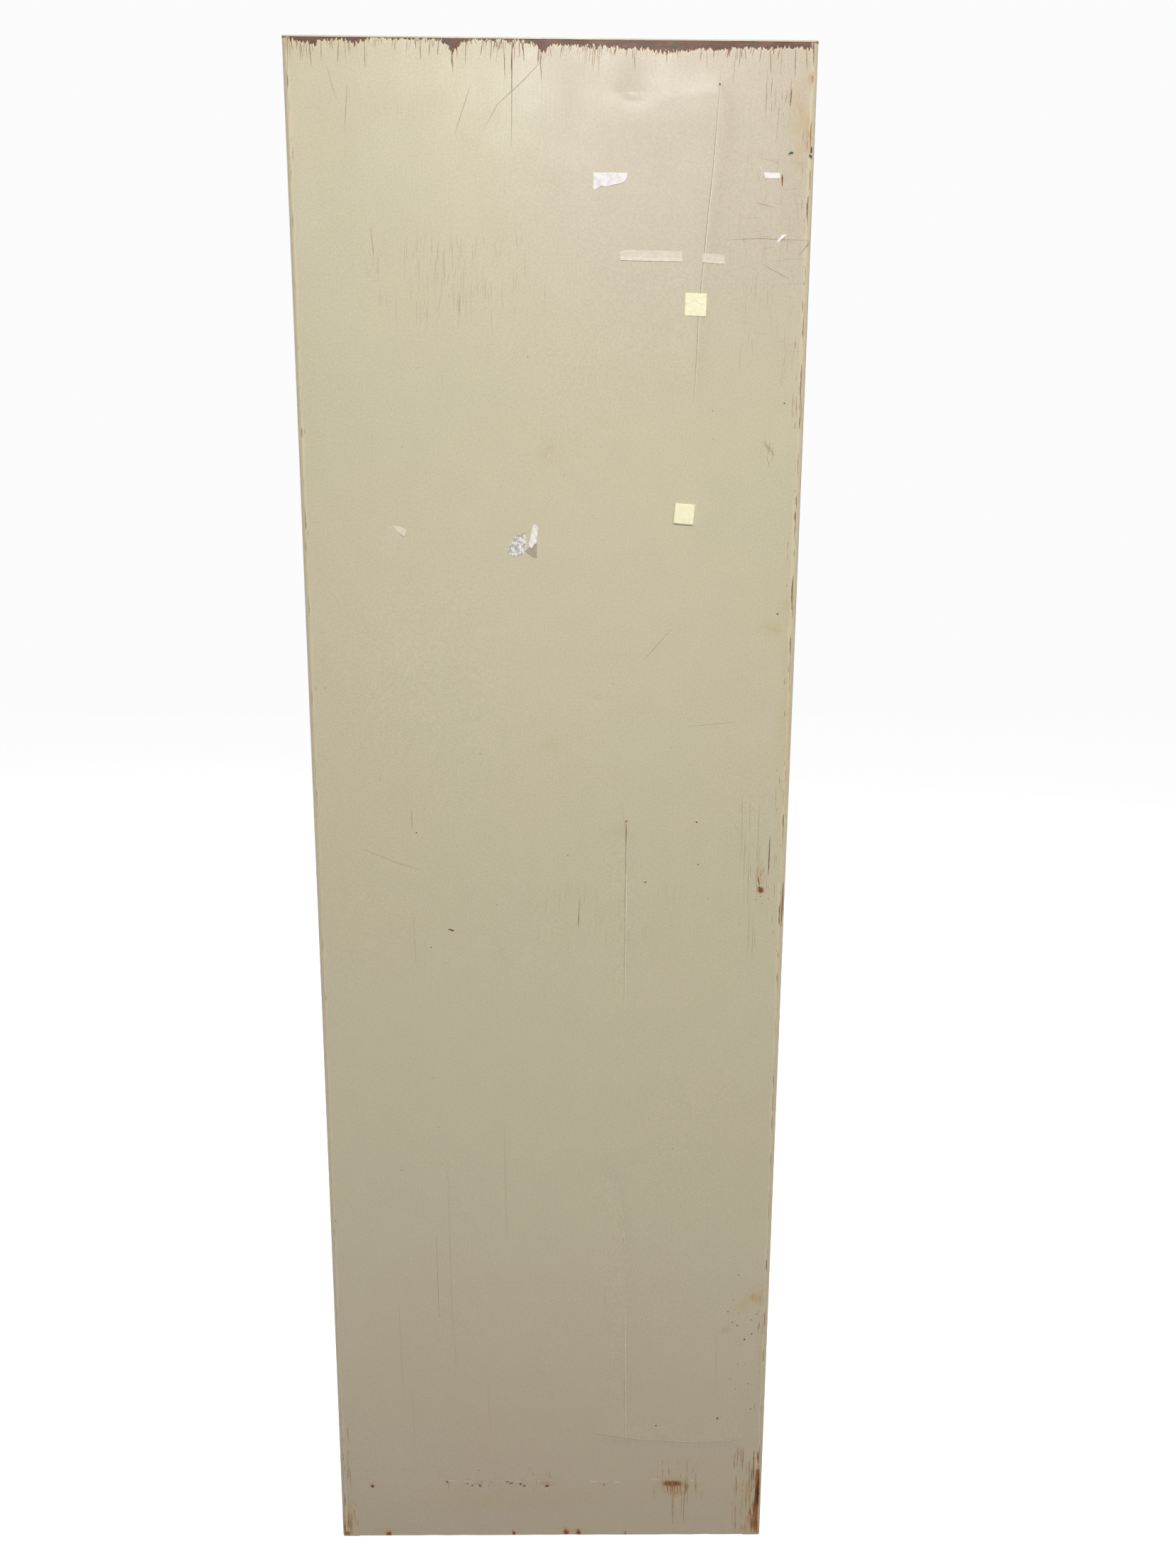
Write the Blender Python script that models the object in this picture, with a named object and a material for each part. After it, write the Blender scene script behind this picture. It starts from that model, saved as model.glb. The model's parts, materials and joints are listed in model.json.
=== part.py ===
"""Standpipe cabinet: a floor-standing steel cabinet round a fire riser and its hose valve.

The front, with its glazed door, faces -Y. The plain back sheet faces +Y. +Z is up, and the
origin is on the floor at the middle of the object's box. Lengths are in metres.
"""

import math

import bmesh
import bpy
from mathutils import Matrix, Vector

MM = 0.001

# Fits
GAP = 0.3 * MM  # between pieces that touch, and round anything that turns or slides

# Cabinet body
WIDTH = 610 * MM
HEIGHT = 1981 * MM
DEPTH = 305 * MM  # from the frame's face to the back sheet's face
BODY_SHEET = 1.5 * MM
BACK_SHEET = 1.2 * MM
BEND = 2 * MM  # inside radius of a fold
REAR_FLANGE = 25 * MM
SEAM_INSET = 5 * MM  # back sheet's edge to the cabinet's side
BACK_LIFT = 2 * MM  # back sheet's lower edge above the floor
STILE = 32 * MM
HEADER = 42 * MM
SILL = 108 * MM
STOP_FLANGE = 16 * MM
RAIL_LIP = 14 * MM
RAIL_LEG = 25 * MM
BASE_RAIL = 45 * MM
FLOOR_LEVEL = 98 * MM
PAD_SIZE = 25.4 * MM
PAD = 3 * MM
PADS = {"foam_pad_upper": (-170.7 * MM, 1697 * MM), "foam_pad_lower": (-162.5 * MM, 1457 * MM)}

# Door
DOOR_SHEET = 1.2 * MM
DOOR_THICKNESS = 25 * MM
DOOR_GAP = 2.5 * MM
DOOR_LIP = 14 * MM
END_FLANGE = 18 * MM
WINDOW_WIDTH = 384 * MM
WINDOW_HEIGHT = 720 * MM
WINDOW_Z = 1480 * MM
WINDOW_RADIUS = 28 * MM
REVEAL_MARGIN = 12 * MM  # from the door skin's window hole out to the reveal
GLASS = 6 * MM
GLASS_PROUD = 2.4 * MM  # glass face in front of the door's face
GLASS_INSET = 4 * MM  # door skin's edge to the glass edge
GASKET_COVER = 9 * MM  # gasket over the glass
GASKET_LAP = 7 * MM  # gasket over the door skin
GASKET_FRONT = 5 * MM
GASKET_BACK = 7 * MM
GASKET_ROUND = 2 * MM
BUMPER = 3 * MM
BUMPER_RADIUS = 5.5 * MM
BUMPER_INSET = 60 * MM  # from the door's ends

# Hinges
HINGE_LENGTH = 80 * MM
HINGE_INSET = 170 * MM  # outer hinges' middles from the door's ends
KNUCKLES = 5
KNUCKLE_RADIUS = 4.5 * MM
KNUCKLE_RELIEF = 0.2 * MM
LEAF = 1.6 * MM
LEAF_WIDTH = 26 * MM
PIN_RADIUS = 2.5 * MM
PIN_HEAD_RADIUS = 4 * MM
PIN_HEAD = 2 * MM

# Latch
HANDLE_REACH = 46 * MM  # handle's face in front of the frame's face
LATCH_Z = 1010 * MM
LATCH_INSET = 32 * MM  # from the door's free edge to the spindle
ROSE_WIDTH = 34 * MM
ROSE_HEIGHT = 96 * MM
ROSE = 2.5 * MM
SPINDLE_RADIUS = 5 * MM
HUB_RADIUS = 12 * MM
LEVER_LENGTH = 96 * MM
LEVER_TIP_RADIUS = 7 * MM
LEVER = 14 * MM
CAM = 3 * MM
CAM_RADIUS = 10 * MM
CAM_REACH = 33 * MM
CAM_ROOM = 1 * MM  # between the cam and the strike
CAM_NUT = 6 * MM
CAM_NUT_FLATS = 17 * MM
STRIKE = 1.4 * MM
STRIKE_HEIGHT = 60 * MM
STRIKE_EDGE = 1.5 * MM

# Riser and its supports
RISER_X = -150 * MM
PIPE_RADIUS = 36.5 * MM
PIPE_WALL = 5.2 * MM
RISER_END = 2 * MM  # pipe ends inside the cabinet's top and bottom
CHANNEL_DEPTH = 36 * MM
CHANNEL_HEIGHT = 41 * MM
CHANNELS = {"lower": 480 * MM, "upper": 1760 * MM}
ROD_RADIUS = 4 * MM
ROD_END = 22 * MM
ROD_ROOM = 0.6 * MM
ROD_NUT = 6.5 * MM
ROD_NUT_FLATS = 13 * MM
PIPE_ROOM = 5 * MM  # round the pipe, where it goes through a sheet
ESCUTCHEON_LAP = 6 * MM  # over the edge of the hole in the sheet
ESCUTCHEON = 2 * MM

# Tee, from its middle
VALVE_Z = 1350 * MM
TEE_REACH = 68 * MM
TEE_WALL = 5.5 * MM  # past the pipe it holds
TEE_BAND = 14 * MM
TEE_BAND_WALL = 9.5 * MM
SOCKET_DEPTH = 24 * MM
NIPPLE_SHOWS = 22 * MM

# Hose valve, along X from its outlet's axis
INLET_REACH = 75 * MM
INLET_HEX = 20 * MM
INLET_HEX_WALL = 7.5 * MM  # past the nipple it holds
INLET_WALL = 4.5 * MM
BODY_RADIUS = 47 * MM
BODY_END = 51 * MM
BODY_TAPER = 15 * MM
SEAT_X = -31 * MM
SEAT_RADIUS = 27 * MM
CHAMBER_RADIUS = 36 * MM
CHAMBER_WALL = 5 * MM  # where the bonnet goes in
BONNET_PLUG = 20 * MM
BONNET_HEX = 12 * MM
BONNET_FLATS = 76 * MM
BONNET_NECK_RADIUS = 18 * MM
BONNET_REACH = 91 * MM
PACKING_OVERLAP = 8 * MM
PACKING_NUT = 16 * MM
PACKING_FLATS = 43 * MM
STEM_RADIUS = 8 * MM
STEM_TIP_RADIUS = 5 * MM
DISC_RADIUS = 31 * MM
DISC = 10 * MM
DISC_HUB_RADIUS = 14 * MM
DISC_HUB = 8 * MM
STEM_SEAT = 6 * MM  # stem tip's depth in the disc
WHEEL_X = 116 * MM
WHEEL_HUB = 22 * MM
WHEEL_HUB_RADIUS = 16 * MM
WHEEL_BORE = 6 * MM
WHEEL_RADIUS = 58 * MM
RIM_RADIUS = 7 * MM
SPOKES = 5
SPOKE_WIDTH = 11 * MM
SPOKE = 7 * MM
WHEEL_NUT = 8 * MM
WHEEL_NUT_FLATS = 19 * MM
STEM_END = 2 * MM

# Valve outlet and its cap, down from the valve's axis
OUTLET_RADIUS = 36 * MM
OUTLET_BORE = 29 * MM
COLLAR_RADIUS = 42 * MM
COLLAR_TOP = 62 * MM
COLLAR_BOTTOM = 68 * MM
THREAD_RADIUS = 38.6 * MM
OUTLET_REACH = 92 * MM
CHAMFER = 1.2 * MM
CAP_RADIUS = 46 * MM
CAP_FLOOR = 6 * MM
CAP_BEVEL = 3 * MM
CAP_BOSS_RADIUS = 22 * MM
CAP_BOSS = 4 * MM
LUG_REACH = 57 * MM
LUG_WIDTH = 14 * MM
LUG_HEIGHT = 12 * MM
LUG_DROP = 9 * MM  # from the cap's rim to its lugs
SEAL = 3 * MM
SEAL_BORE = 30 * MM

# Sides of round pieces
FINE = 28
ROUND = 24
MEDIUM = 16
SMALL = 12
ARC_STEPS = 4
BEND_STEPS = 2
RIM_SIDES = 8
SMOOTH_ANGLE = math.radians(40)
CLEAR = 2 * MM  # a cutter's reach past what it cuts

# Places worked out from the sizes
Y_BACK = (DEPTH + HANDLE_REACH - PAD) / 2
Y_FRONT = Y_BACK - DEPTH
Z_UNDER = HEIGHT - BODY_SHEET - GAP  # top of what the top sheet lies on
SIDE = WIDTH / 2
INNER_SIDE = SIDE - BODY_SHEET - BEND - GAP  # clear of the folds at the side panels' corners
REAR_FACE = Y_BACK - BACK_SHEET - GAP
REAR_HALF = SIDE - REAR_FLANGE - GAP
OPENING_HALF = SIDE - STILE
DOOR_HALF = OPENING_HALF - DOOR_GAP
DOOR_BOTTOM = SILL + DOOR_GAP
DOOR_TOP = HEIGHT - HEADER - DOOR_GAP
Y_DOOR_BACK = Y_FRONT + DOOR_THICKNESS
Y_LIP = Y_DOOR_BACK - DOOR_SHEET - GAP  # back of the door skin's lips
Y_STOP = Y_DOOR_BACK + BUMPER + 2 * GAP  # front of the stop flanges
Y_STRIKE = Y_STOP + BODY_SHEET + GAP
Y_CAM = Y_STRIKE + STRIKE + CAM_ROOM
LATCH_X = DOOR_HALF - LATCH_INSET
HINGE_X = -OPENING_HALF + DOOR_GAP / 2
HINGE_Y = Y_FRONT - KNUCKLE_RADIUS - GAP - KNUCKLE_RELIEF
Y_CHANNEL = REAR_FACE - BODY_SHEET - GAP  # back of the riser's support channels
Y_WEB = Y_CHANNEL - CHANNEL_DEPTH
RISER_Y = Y_WEB - GAP - PIPE_RADIUS
PIPE_BORE = PIPE_RADIUS - PIPE_WALL
SOCKET_RADIUS = PIPE_RADIUS + GAP
PIPE_IN_TEE = TEE_REACH - SOCKET_DEPTH + GAP
TEE_RADIUS = PIPE_RADIUS + TEE_WALL
TEE_BAND_RADIUS = PIPE_RADIUS + TEE_BAND_WALL
VALVE_X = RISER_X + TEE_REACH + NIPPLE_SHOWS + INLET_REACH
WHEEL_FACE = WHEEL_X - WHEEL_HUB / 2
SEAL_TOP = OUTLET_REACH + GAP
CAP_INSIDE = SEAL_TOP + SEAL + GAP
CAP_RIM = COLLAR_BOTTOM + GAP


def material(name, colour, roughness, metallic=0.0):
    made = bpy.data.materials.new(name)
    made.use_nodes = True
    shader = made.node_tree.nodes["Principled BSDF"]
    shader.inputs["Base Color"].default_value = (*colour, 1)
    shader.inputs["Roughness"].default_value = roughness
    shader.inputs["Metallic"].default_value = metallic
    return made


def solid(name, rings, finish=None, closed=False, smooth=False):
    """A body skinned over rings of points. Its ends are capped, or joined to each other if closed."""
    form = bmesh.new()
    loops = [[form.verts.new(point) for point in ring] for ring in rings]
    pairs = list(zip(loops, loops[1:]))
    if closed:
        pairs.append((loops[-1], loops[0]))
    for one, other in pairs:
        for i in range(max(len(one), len(other))):
            corners = [one[i % len(one)], one[(i + 1) % len(one)]]
            corners += [other[(i + 1) % len(other)], other[i % len(other)]]
            form.faces.new(list(dict.fromkeys(corners)))
    if not closed:
        for loop in (loops[0], loops[-1]):
            if len(loop) > 2:
                form.faces.new(loop)
    bmesh.ops.recalc_face_normals(form, faces=form.faces)
    mesh = bpy.data.meshes.new(name)
    form.to_mesh(mesh)
    form.free()
    if smooth:
        mesh.shade_smooth()
        mesh.set_sharp_from_angle(angle=SMOOTH_ANGLE)
    made = bpy.data.objects.new(name, mesh)
    bpy.context.scene.collection.objects.link(made)
    if finish:
        mesh.materials.append(finish)
    return made


def along(axis, a, b, height):
    """The point at a height along an axis and at (a, b) across it."""
    return {"X": (height, a, b), "Y": (a, height, b), "Z": (a, b, height)}[axis]


def prism(name, outline, axis, start, end, finish=None):
    """An outline across an axis, drawn out from start to end."""
    return solid(name, [[along(axis, a, b, height) for a, b in outline] for height in (start, end)], finish)


def box(name, low, high, finish=None):
    outline = ((low[0], low[1]), (high[0], low[1]), (high[0], high[1]), (low[0], high[1]))
    return prism(name, outline, "Z", low[2], high[2], finish)


def circle(centre, radius, sides, start=0.0, sweep=2 * math.pi):
    """Points round a circle, or along a part of one, both of whose ends count."""
    steps = sides if sweep == 2 * math.pi else sides - 1
    turns = [start + sweep * i / steps for i in range(sides)]
    return [(centre[0] + radius * math.cos(t), centre[1] + radius * math.sin(t)) for t in turns]


def turned(name, profile, axis, centre, sides, finish=None, closed=False):
    """A profile of (radius, height) turned round an axis. A radius of 0 is a point."""
    rings = []
    for radius, height in profile:
        points = circle(centre, radius, sides) if radius else [centre]
        rings.append([along(axis, a, b, height) for a, b in points])
    return solid(name, rings, finish, closed, smooth=True)


def ring(name, inner, outer, axis, centre, start, end, sides, finish):
    profile = ((outer, start), (outer, end), (inner, end), (inner, start))
    return turned(name, profile, axis, centre, sides, finish, closed=True)


def rod(name, radius, axis, centre, start, end, sides, finish=None):
    return turned(name, ((radius, start), (radius, end)), axis, centre, sides, finish)


def hexagon(name, flats, axis, centre, start, end, finish=None):
    outline = circle(centre, flats / math.sqrt(3), 6, math.pi / 6)
    return prism(name, outline, axis, start, end, finish)


def rounded(centre, half_width, half_height, radius):
    """A rectangle with round corners."""
    points = []
    for corner, (right, top) in enumerate(((1, 1), (-1, 1), (-1, -1), (1, -1))):
        middle = (centre[0] + right * (half_width - radius), centre[1] + top * (half_height - radius))
        points += circle(middle, radius, ARC_STEPS + 1, corner * math.pi / 2, math.pi / 2)
    return points


def window(margin):
    """The door's window, grown by a margin."""
    half_width = WINDOW_WIDTH / 2 + margin
    half_height = WINDOW_HEIGHT / 2 + margin
    return rounded((0, WINDOW_Z), half_width, half_height, WINDOW_RADIUS + margin)


def folded(path, sheet):
    """The outline of a sheet folded along a path down its middle."""
    corners = [Vector(point) for point in path]
    radius = BEND + sheet / 2
    middle = []
    for i, corner in enumerate(corners):
        if i in (0, len(corners) - 1):
            way = corners[1] - corner if i == 0 else corner - corners[i - 1]
            middle.append((corner, Vector((-way.y, way.x)).normalized()))
            continue
        before = (corner - corners[i - 1]).normalized()
        after = (corners[i + 1] - corner).normalized()
        turn = math.atan2(before.x * after.y - before.y * after.x, before.dot(after))
        side = math.copysign(1, turn)
        left = Vector((-before.y, before.x))
        centre = corner - before * radius * math.tan(abs(turn) / 2) + left * side * radius
        for step in range(BEND_STEPS + 1):
            normal = Matrix.Rotation(turn * step / BEND_STEPS, 2) @ left
            middle.append((centre - normal * side * radius, normal))
    left_side = [tuple(point + normal * sheet / 2) for point, normal in middle]
    right_side = [tuple(point - normal * sheet / 2) for point, normal in middle]
    return left_side + right_side[::-1]


def tube(name, path, radius, sides, finish):
    """A round rod bent along a path that lies flat."""
    points = [Vector(point) for point in path]
    rings = []
    for i, point in enumerate(points):
        way = (points[min(i + 1, len(points) - 1)] - points[max(i - 1, 0)]).normalized()
        across = way.cross(Vector((0, 0, 1)))
        spread = circle((0, 0), radius, sides)
        rings.append([tuple(point + across * a + Vector((0, 0, b))) for a, b in spread])
    return solid(name, rings, finish, smooth=True)


def combine(target, other, operation):
    modifier = target.modifiers.new(operation.lower(), "BOOLEAN")
    modifier.operation = operation
    modifier.object = other
    other.hide_render = True
    other.display_type = "WIRE"
    return target


def cut(target, cutter):
    return combine(target, cutter, "DIFFERENCE")


def join(target, other):
    return combine(target, other, "UNION")


def carrier(name, location, pieces):
    """An empty on a joint's axis that carries the pieces that the joint moves."""
    empty = bpy.data.objects.new(name, None)
    empty.location = location
    bpy.context.scene.collection.objects.link(empty)
    for piece in pieces:
        piece.parent = empty
        piece.matrix_parent_inverse = Matrix.Translation(location).inverted()
    return empty


def side_panel(name, sign, paint):
    """A side with its rear flange and, at the front, the stile, the jamb and the door stop."""
    half = BODY_SHEET / 2
    path = (
        (SIDE - REAR_FLANGE, REAR_FACE - half),
        (SIDE - half, REAR_FACE - half),
        (SIDE - half, Y_FRONT + half),
        (OPENING_HALF + half, Y_FRONT + half),
        (OPENING_HALF + half, Y_STOP + half),
        (OPENING_HALF - STOP_FLANGE, Y_STOP + half),
    )
    return prism(name, folded([(sign * x, y) for x, y in path], BODY_SHEET), "Z", 0, Z_UNDER, paint)


def pipe_hole(name, bottom, top):
    radius = PIPE_RADIUS + PIPE_ROOM
    return rod(name, radius, "Z", (RISER_X, RISER_Y), bottom - CLEAR, top + CLEAR, FINE)


def cabinet_sheets(paint):
    """The shell's back, top and floor, and the rails that they are welded to."""
    half = BODY_SHEET / 2
    side_panel("side_panel_left", -1, paint)
    side_panel("side_panel_right", 1, paint)
    back_half = SIDE - SEAM_INSET
    box("back_panel", (-back_half, Y_BACK - BACK_SHEET, BACK_LIFT), (back_half, Y_BACK, Z_UNDER), paint)

    outline = rounded((0, (Y_FRONT + Y_BACK) / 2), SIDE, DEPTH / 2, BEND + BODY_SHEET)
    top = prism("top_panel", outline, "Z", HEIGHT - BODY_SHEET, HEIGHT, paint)
    cut(top, pipe_hole("top_pipe_hole", HEIGHT - BODY_SHEET, HEIGHT))
    front = Y_STRIKE + half
    path = ((front, FLOOR_LEVEL - RAIL_LEG), (front, FLOOR_LEVEL - half), (Y_CHANNEL, FLOOR_LEVEL - half))
    floor = prism("floor_pan", folded(path, BODY_SHEET), "X", -INNER_SIDE, INNER_SIDE, paint)
    cut(floor, pipe_hole("floor_pipe_hole", FLOOR_LEVEL - BODY_SHEET, FLOOR_LEVEL))

    rear = REAR_FACE - half
    lip = Y_STOP - GAP - BEND - half
    face = Y_FRONT + half
    roof = Z_UNDER - half
    under_floor = FLOOR_LEVEL - BODY_SHEET - GAP - half
    rails = {
        "top_rail_rear": (REAR_HALF, ((rear - RAIL_LEG, roof), (rear, roof), (rear, roof - RAIL_LEG))),
        "floor_rail_rear": (
            REAR_HALF,
            ((rear - RAIL_LEG, under_floor), (rear, under_floor), (rear, under_floor - RAIL_LEG)),
        ),
        "base_rail_rear": (REAR_HALF, ((rear - RAIL_LEG, half), (rear, half), (rear, BASE_RAIL))),
        "header_rail": (
            OPENING_HALF - GAP,
            (
                (face + RAIL_LEG, roof),
                (face, roof),
                (face, HEIGHT - HEADER + half),
                (lip, HEIGHT - HEADER + half),
                (lip, HEIGHT - HEADER + RAIL_LIP),
            ),
        ),
        "sill_rail": (
            OPENING_HALF - GAP,
            (
                (face + RAIL_LEG, half),
                (face, half),
                (face, SILL - half),
                (lip, SILL - half),
                (lip, SILL - RAIL_LIP),
            ),
        ),
    }
    for name, (reach, section) in rails.items():
        prism(name, folded(section, BODY_SHEET), "X", -reach, reach, paint)


def back_pads(foam):
    """Square foam spacers stuck on the back."""
    half = PAD_SIZE / 2
    for name, (x, z) in PADS.items():
        box(name, (x - half, Y_BACK + GAP, z - half), (x + half, Y_BACK + PAD, z + half), foam)


def door_stops(steel, rubber):
    """The strike behind the latch side's stop flange, and the bumpers in front of it."""
    edge = OPENING_HALF - STOP_FLANGE + STRIKE_EDGE
    low = (edge, Y_STRIKE, LATCH_Z - STRIKE_HEIGHT / 2)
    high = (OPENING_HALF - STRIKE_EDGE, Y_STRIKE + STRIKE, LATCH_Z + STRIKE_HEIGHT / 2)
    box("latch_strike", low, high, steel)
    x = OPENING_HALF - STOP_FLANGE / 2
    heights = {"lower": DOOR_BOTTOM + BUMPER_INSET, "upper": DOOR_TOP - BUMPER_INSET}
    for place, z in heights.items():
        name = f"door_bumper_{place}"
        rod(name, BUMPER_RADIUS, "Y", (x, z), Y_STOP - GAP - BUMPER, Y_STOP - GAP, MEDIUM, rubber)


def hinge_leaf(name, side, z, keeps, steel):
    """A leaf with the knuckles that it keeps, of those numbered from the bottom."""
    low = z - HINGE_LENGTH / 2
    pitch = HINGE_LENGTH / KNUCKLES
    reach = sorted((HINGE_X, HINGE_X + side * LEAF_WIDTH))
    back = Y_FRONT - GAP
    leaf = box(name, (reach[0], back - LEAF, low), (reach[1], back, low + HINGE_LENGTH), steel)
    centre = (HINGE_X, HINGE_Y)
    join(leaf, rod(f"{name}_barrel", KNUCKLE_RADIUS, "Z", centre, low, low + HINGE_LENGTH, SMALL))
    bore = PIN_RADIUS + GAP
    cut(leaf, rod(f"{name}_bore", bore, "Z", centre, low - CLEAR, low + HINGE_LENGTH + CLEAR, SMALL))
    room = KNUCKLE_RADIUS + KNUCKLE_RELIEF + GAP
    for i in range(KNUCKLES):
        if i in keeps:
            continue
        start = low - CLEAR if i == 0 else low + i * pitch - GAP / 2
        end = low + HINGE_LENGTH + CLEAR if i == KNUCKLES - 1 else low + (i + 1) * pitch + GAP / 2
        corners = ((HINGE_X - room, HINGE_Y - room, start), (HINGE_X + room, back + CLEAR, end))
        cut(leaf, box(f"{name}_notch_{i}", *corners))
    return leaf


def hinges(steel):
    """Three butt hinges on the faces of the frame and the door. Gives the door's leaves."""
    heights = {
        "lower": DOOR_BOTTOM + HINGE_INSET,
        "middle": (DOOR_BOTTOM + DOOR_TOP) / 2,
        "upper": DOOR_TOP - HINGE_INSET,
    }
    leaves = []
    for place, z in heights.items():
        hinge_leaf(f"hinge_{place}_frame_leaf", -1, z, (0, 2, 4), steel)
        leaves.append(hinge_leaf(f"hinge_{place}_door_leaf", 1, z, (1, 3), steel))
        top = z + HINGE_LENGTH / 2 + GAP
        profile = (
            (PIN_RADIUS, z - HINGE_LENGTH / 2 - CLEAR),
            (PIN_RADIUS, top),
            (PIN_HEAD_RADIUS, top),
            (PIN_HEAD_RADIUS, top + PIN_HEAD),
        )
        turned(f"hinge_{place}_pin", profile, "Z", (HINGE_X, HINGE_Y), SMALL, steel)
    return leaves


def spindle_hole(name):
    radius = SPINDLE_RADIUS + GAP
    return rod(name, radius, "Y", (LATCH_X, LATCH_Z), Y_FRONT - ROSE - CLEAR, Y_DOOR_BACK + CLEAR, SMALL)


def door_panels(paint):
    """The door's skin, the liner that closes its back, its end channels and its window reveal."""
    half = DOOR_SHEET / 2
    lip = Y_LIP - half
    quarter = ((DOOR_HALF - DOOR_LIP, lip), (DOOR_HALF - half, lip), (DOOR_HALF - half, Y_FRONT + half))
    section = folded(list(quarter) + [(-x, y) for x, y in reversed(quarter)], DOOR_SHEET)
    skin = prism("door_skin", section, "Z", DOOR_BOTTOM, DOOR_TOP, paint)
    cut(skin, prism("skin_window_hole", window(0), "Y", Y_FRONT - CLEAR, Y_FRONT + DOOR_SHEET + CLEAR))
    cut(skin, spindle_hole("skin_spindle_hole"))

    liner_front = Y_DOOR_BACK - DOOR_SHEET
    corners = ((-DOOR_HALF, liner_front, DOOR_BOTTOM), (DOOR_HALF, Y_DOOR_BACK, DOOR_TOP))
    liner = box("door_liner", *corners, paint)
    hole = window(REVEAL_MARGIN)
    cut(liner, prism("liner_window_hole", hole, "Y", liner_front - CLEAR, Y_DOOR_BACK + CLEAR))
    cut(liner, spindle_hole("liner_spindle_hole"))

    front = Y_FRONT + DOOR_SHEET + GAP
    back = Y_LIP - DOOR_SHEET - GAP
    reach = DOOR_HALF - DOOR_SHEET - BEND - GAP
    pieces = [skin, liner]
    for place, edge, inward in (("lower", DOOR_BOTTOM, 1), ("upper", DOOR_TOP, -1)):
        web = edge + inward * half
        end = edge + inward * END_FLANGE
        path = ((front + half, end), (front + half, web), (back - half, web), (back - half, end))
        pieces.append(prism(f"door_channel_{place}", folded(path, DOOR_SHEET), "X", -reach, reach, paint))

    rings = []
    for margin in (REVEAL_MARGIN + DOOR_SHEET, REVEAL_MARGIN):
        depths = (front, liner_front - GAP)
        ends = depths if margin > REVEAL_MARGIN else reversed(depths)
        rings += [[(x, y, z) for x, z in window(margin)] for y in ends]
    pieces.append(solid("window_reveal", rings, paint, closed=True, smooth=True))
    return pieces


def door_window(glass, rubber):
    """The pane, and the H-shaped gasket that holds it in the door skin."""
    pane_front = Y_FRONT - GLASS_PROUD
    pane = prism("window_glass", window(-GLASS_INSET), "Y", pane_front, pane_front + GLASS, glass)
    outer = GASKET_LAP
    inner = -GLASS_INSET - GASKET_COVER
    front = Y_FRONT - GASKET_FRONT
    back = Y_FRONT + DOOR_SHEET + GASKET_BACK
    section = (
        (inner, front + GASKET_ROUND),
        (inner + GASKET_ROUND, front),
        (outer - GASKET_ROUND, front),
        (outer, front + GASKET_ROUND),
        (outer, Y_FRONT - GAP),
        (-GAP, Y_FRONT - GAP),
        (-GAP, Y_FRONT + DOOR_SHEET + GAP),
        (outer, Y_FRONT + DOOR_SHEET + GAP),
        (outer, back - GASKET_ROUND),
        (outer - GASKET_ROUND, back),
        (inner + GASKET_ROUND, back),
        (inner, back - GASKET_ROUND),
        (inner, pane_front + GLASS + GAP),
        (-GLASS_INSET + GAP, pane_front + GLASS + GAP),
        (-GLASS_INSET + GAP, pane_front - GAP),
        (inner, pane_front - GAP),
    )
    rings = [[(x, y, z) for x, z in window(margin)] for margin, y in section]
    gasket = solid("window_gasket", rings, rubber, closed=True, smooth=True)
    return [pane, gasket]


def latch(chrome, steel):
    """The rose on the door, and the handle with its spindle, cam and nut."""
    centre = (LATCH_X, LATCH_Z)
    rose_back = Y_FRONT - GAP
    rose_front = rose_back - ROSE
    outline = rounded(centre, ROSE_WIDTH / 2, ROSE_HEIGHT / 2, ROSE_WIDTH / 4)
    rose = prism("handle_rose", outline, "Y", rose_front, rose_back, chrome)
    cut(rose, spindle_hole("rose_spindle_hole"))

    face = Y_FRONT - HANDLE_REACH
    end = Y_CAM + CAM + GAP + CAM_NUT + CLEAR
    profile = (
        (HUB_RADIUS, face),
        (HUB_RADIUS, rose_front - GAP),
        (SPINDLE_RADIUS, rose_front - GAP),
        (SPINDLE_RADIUS, end),
    )
    handle = turned("latch_handle", profile, "Y", centre, MEDIUM, chrome)
    tip = (LATCH_X, LATCH_Z - LEVER_LENGTH + LEVER_TIP_RADIUS)
    grip = circle(centre, HUB_RADIUS - GAP, SMALL // 2, 0, math.pi)
    grip += circle(tip, LEVER_TIP_RADIUS, SMALL // 2, math.pi, math.pi)
    join(handle, prism("handle_grip", grip, "Y", face + GAP, face + LEVER))

    reach = (LATCH_X, LATCH_Z + CAM_REACH - CAM_RADIUS)
    outline = circle(reach, CAM_RADIUS, SMALL // 2, 0, math.pi)
    outline += circle(centre, CAM_RADIUS, SMALL // 2, math.pi, math.pi)
    cam = prism("latch_cam", outline, "Y", Y_CAM, Y_CAM + CAM, steel)
    bore = SPINDLE_RADIUS + GAP
    cut(cam, rod("cam_bore", bore, "Y", centre, Y_CAM - CLEAR, Y_CAM + CAM + CLEAR, SMALL))
    nut_front = Y_CAM + CAM + GAP
    nut = hexagon("latch_nut", CAM_NUT_FLATS, "Y", centre, nut_front, nut_front + CAM_NUT, steel)
    bore_ends = (nut_front - CLEAR, nut_front + CAM_NUT + CLEAR)
    cut(nut, rod("latch_nut_bore", bore, "Y", centre, *bore_ends, SMALL))
    carrier("latch_axis", (LATCH_X, Y_FRONT, LATCH_Z), [handle, cam, nut])
    return rose


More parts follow.
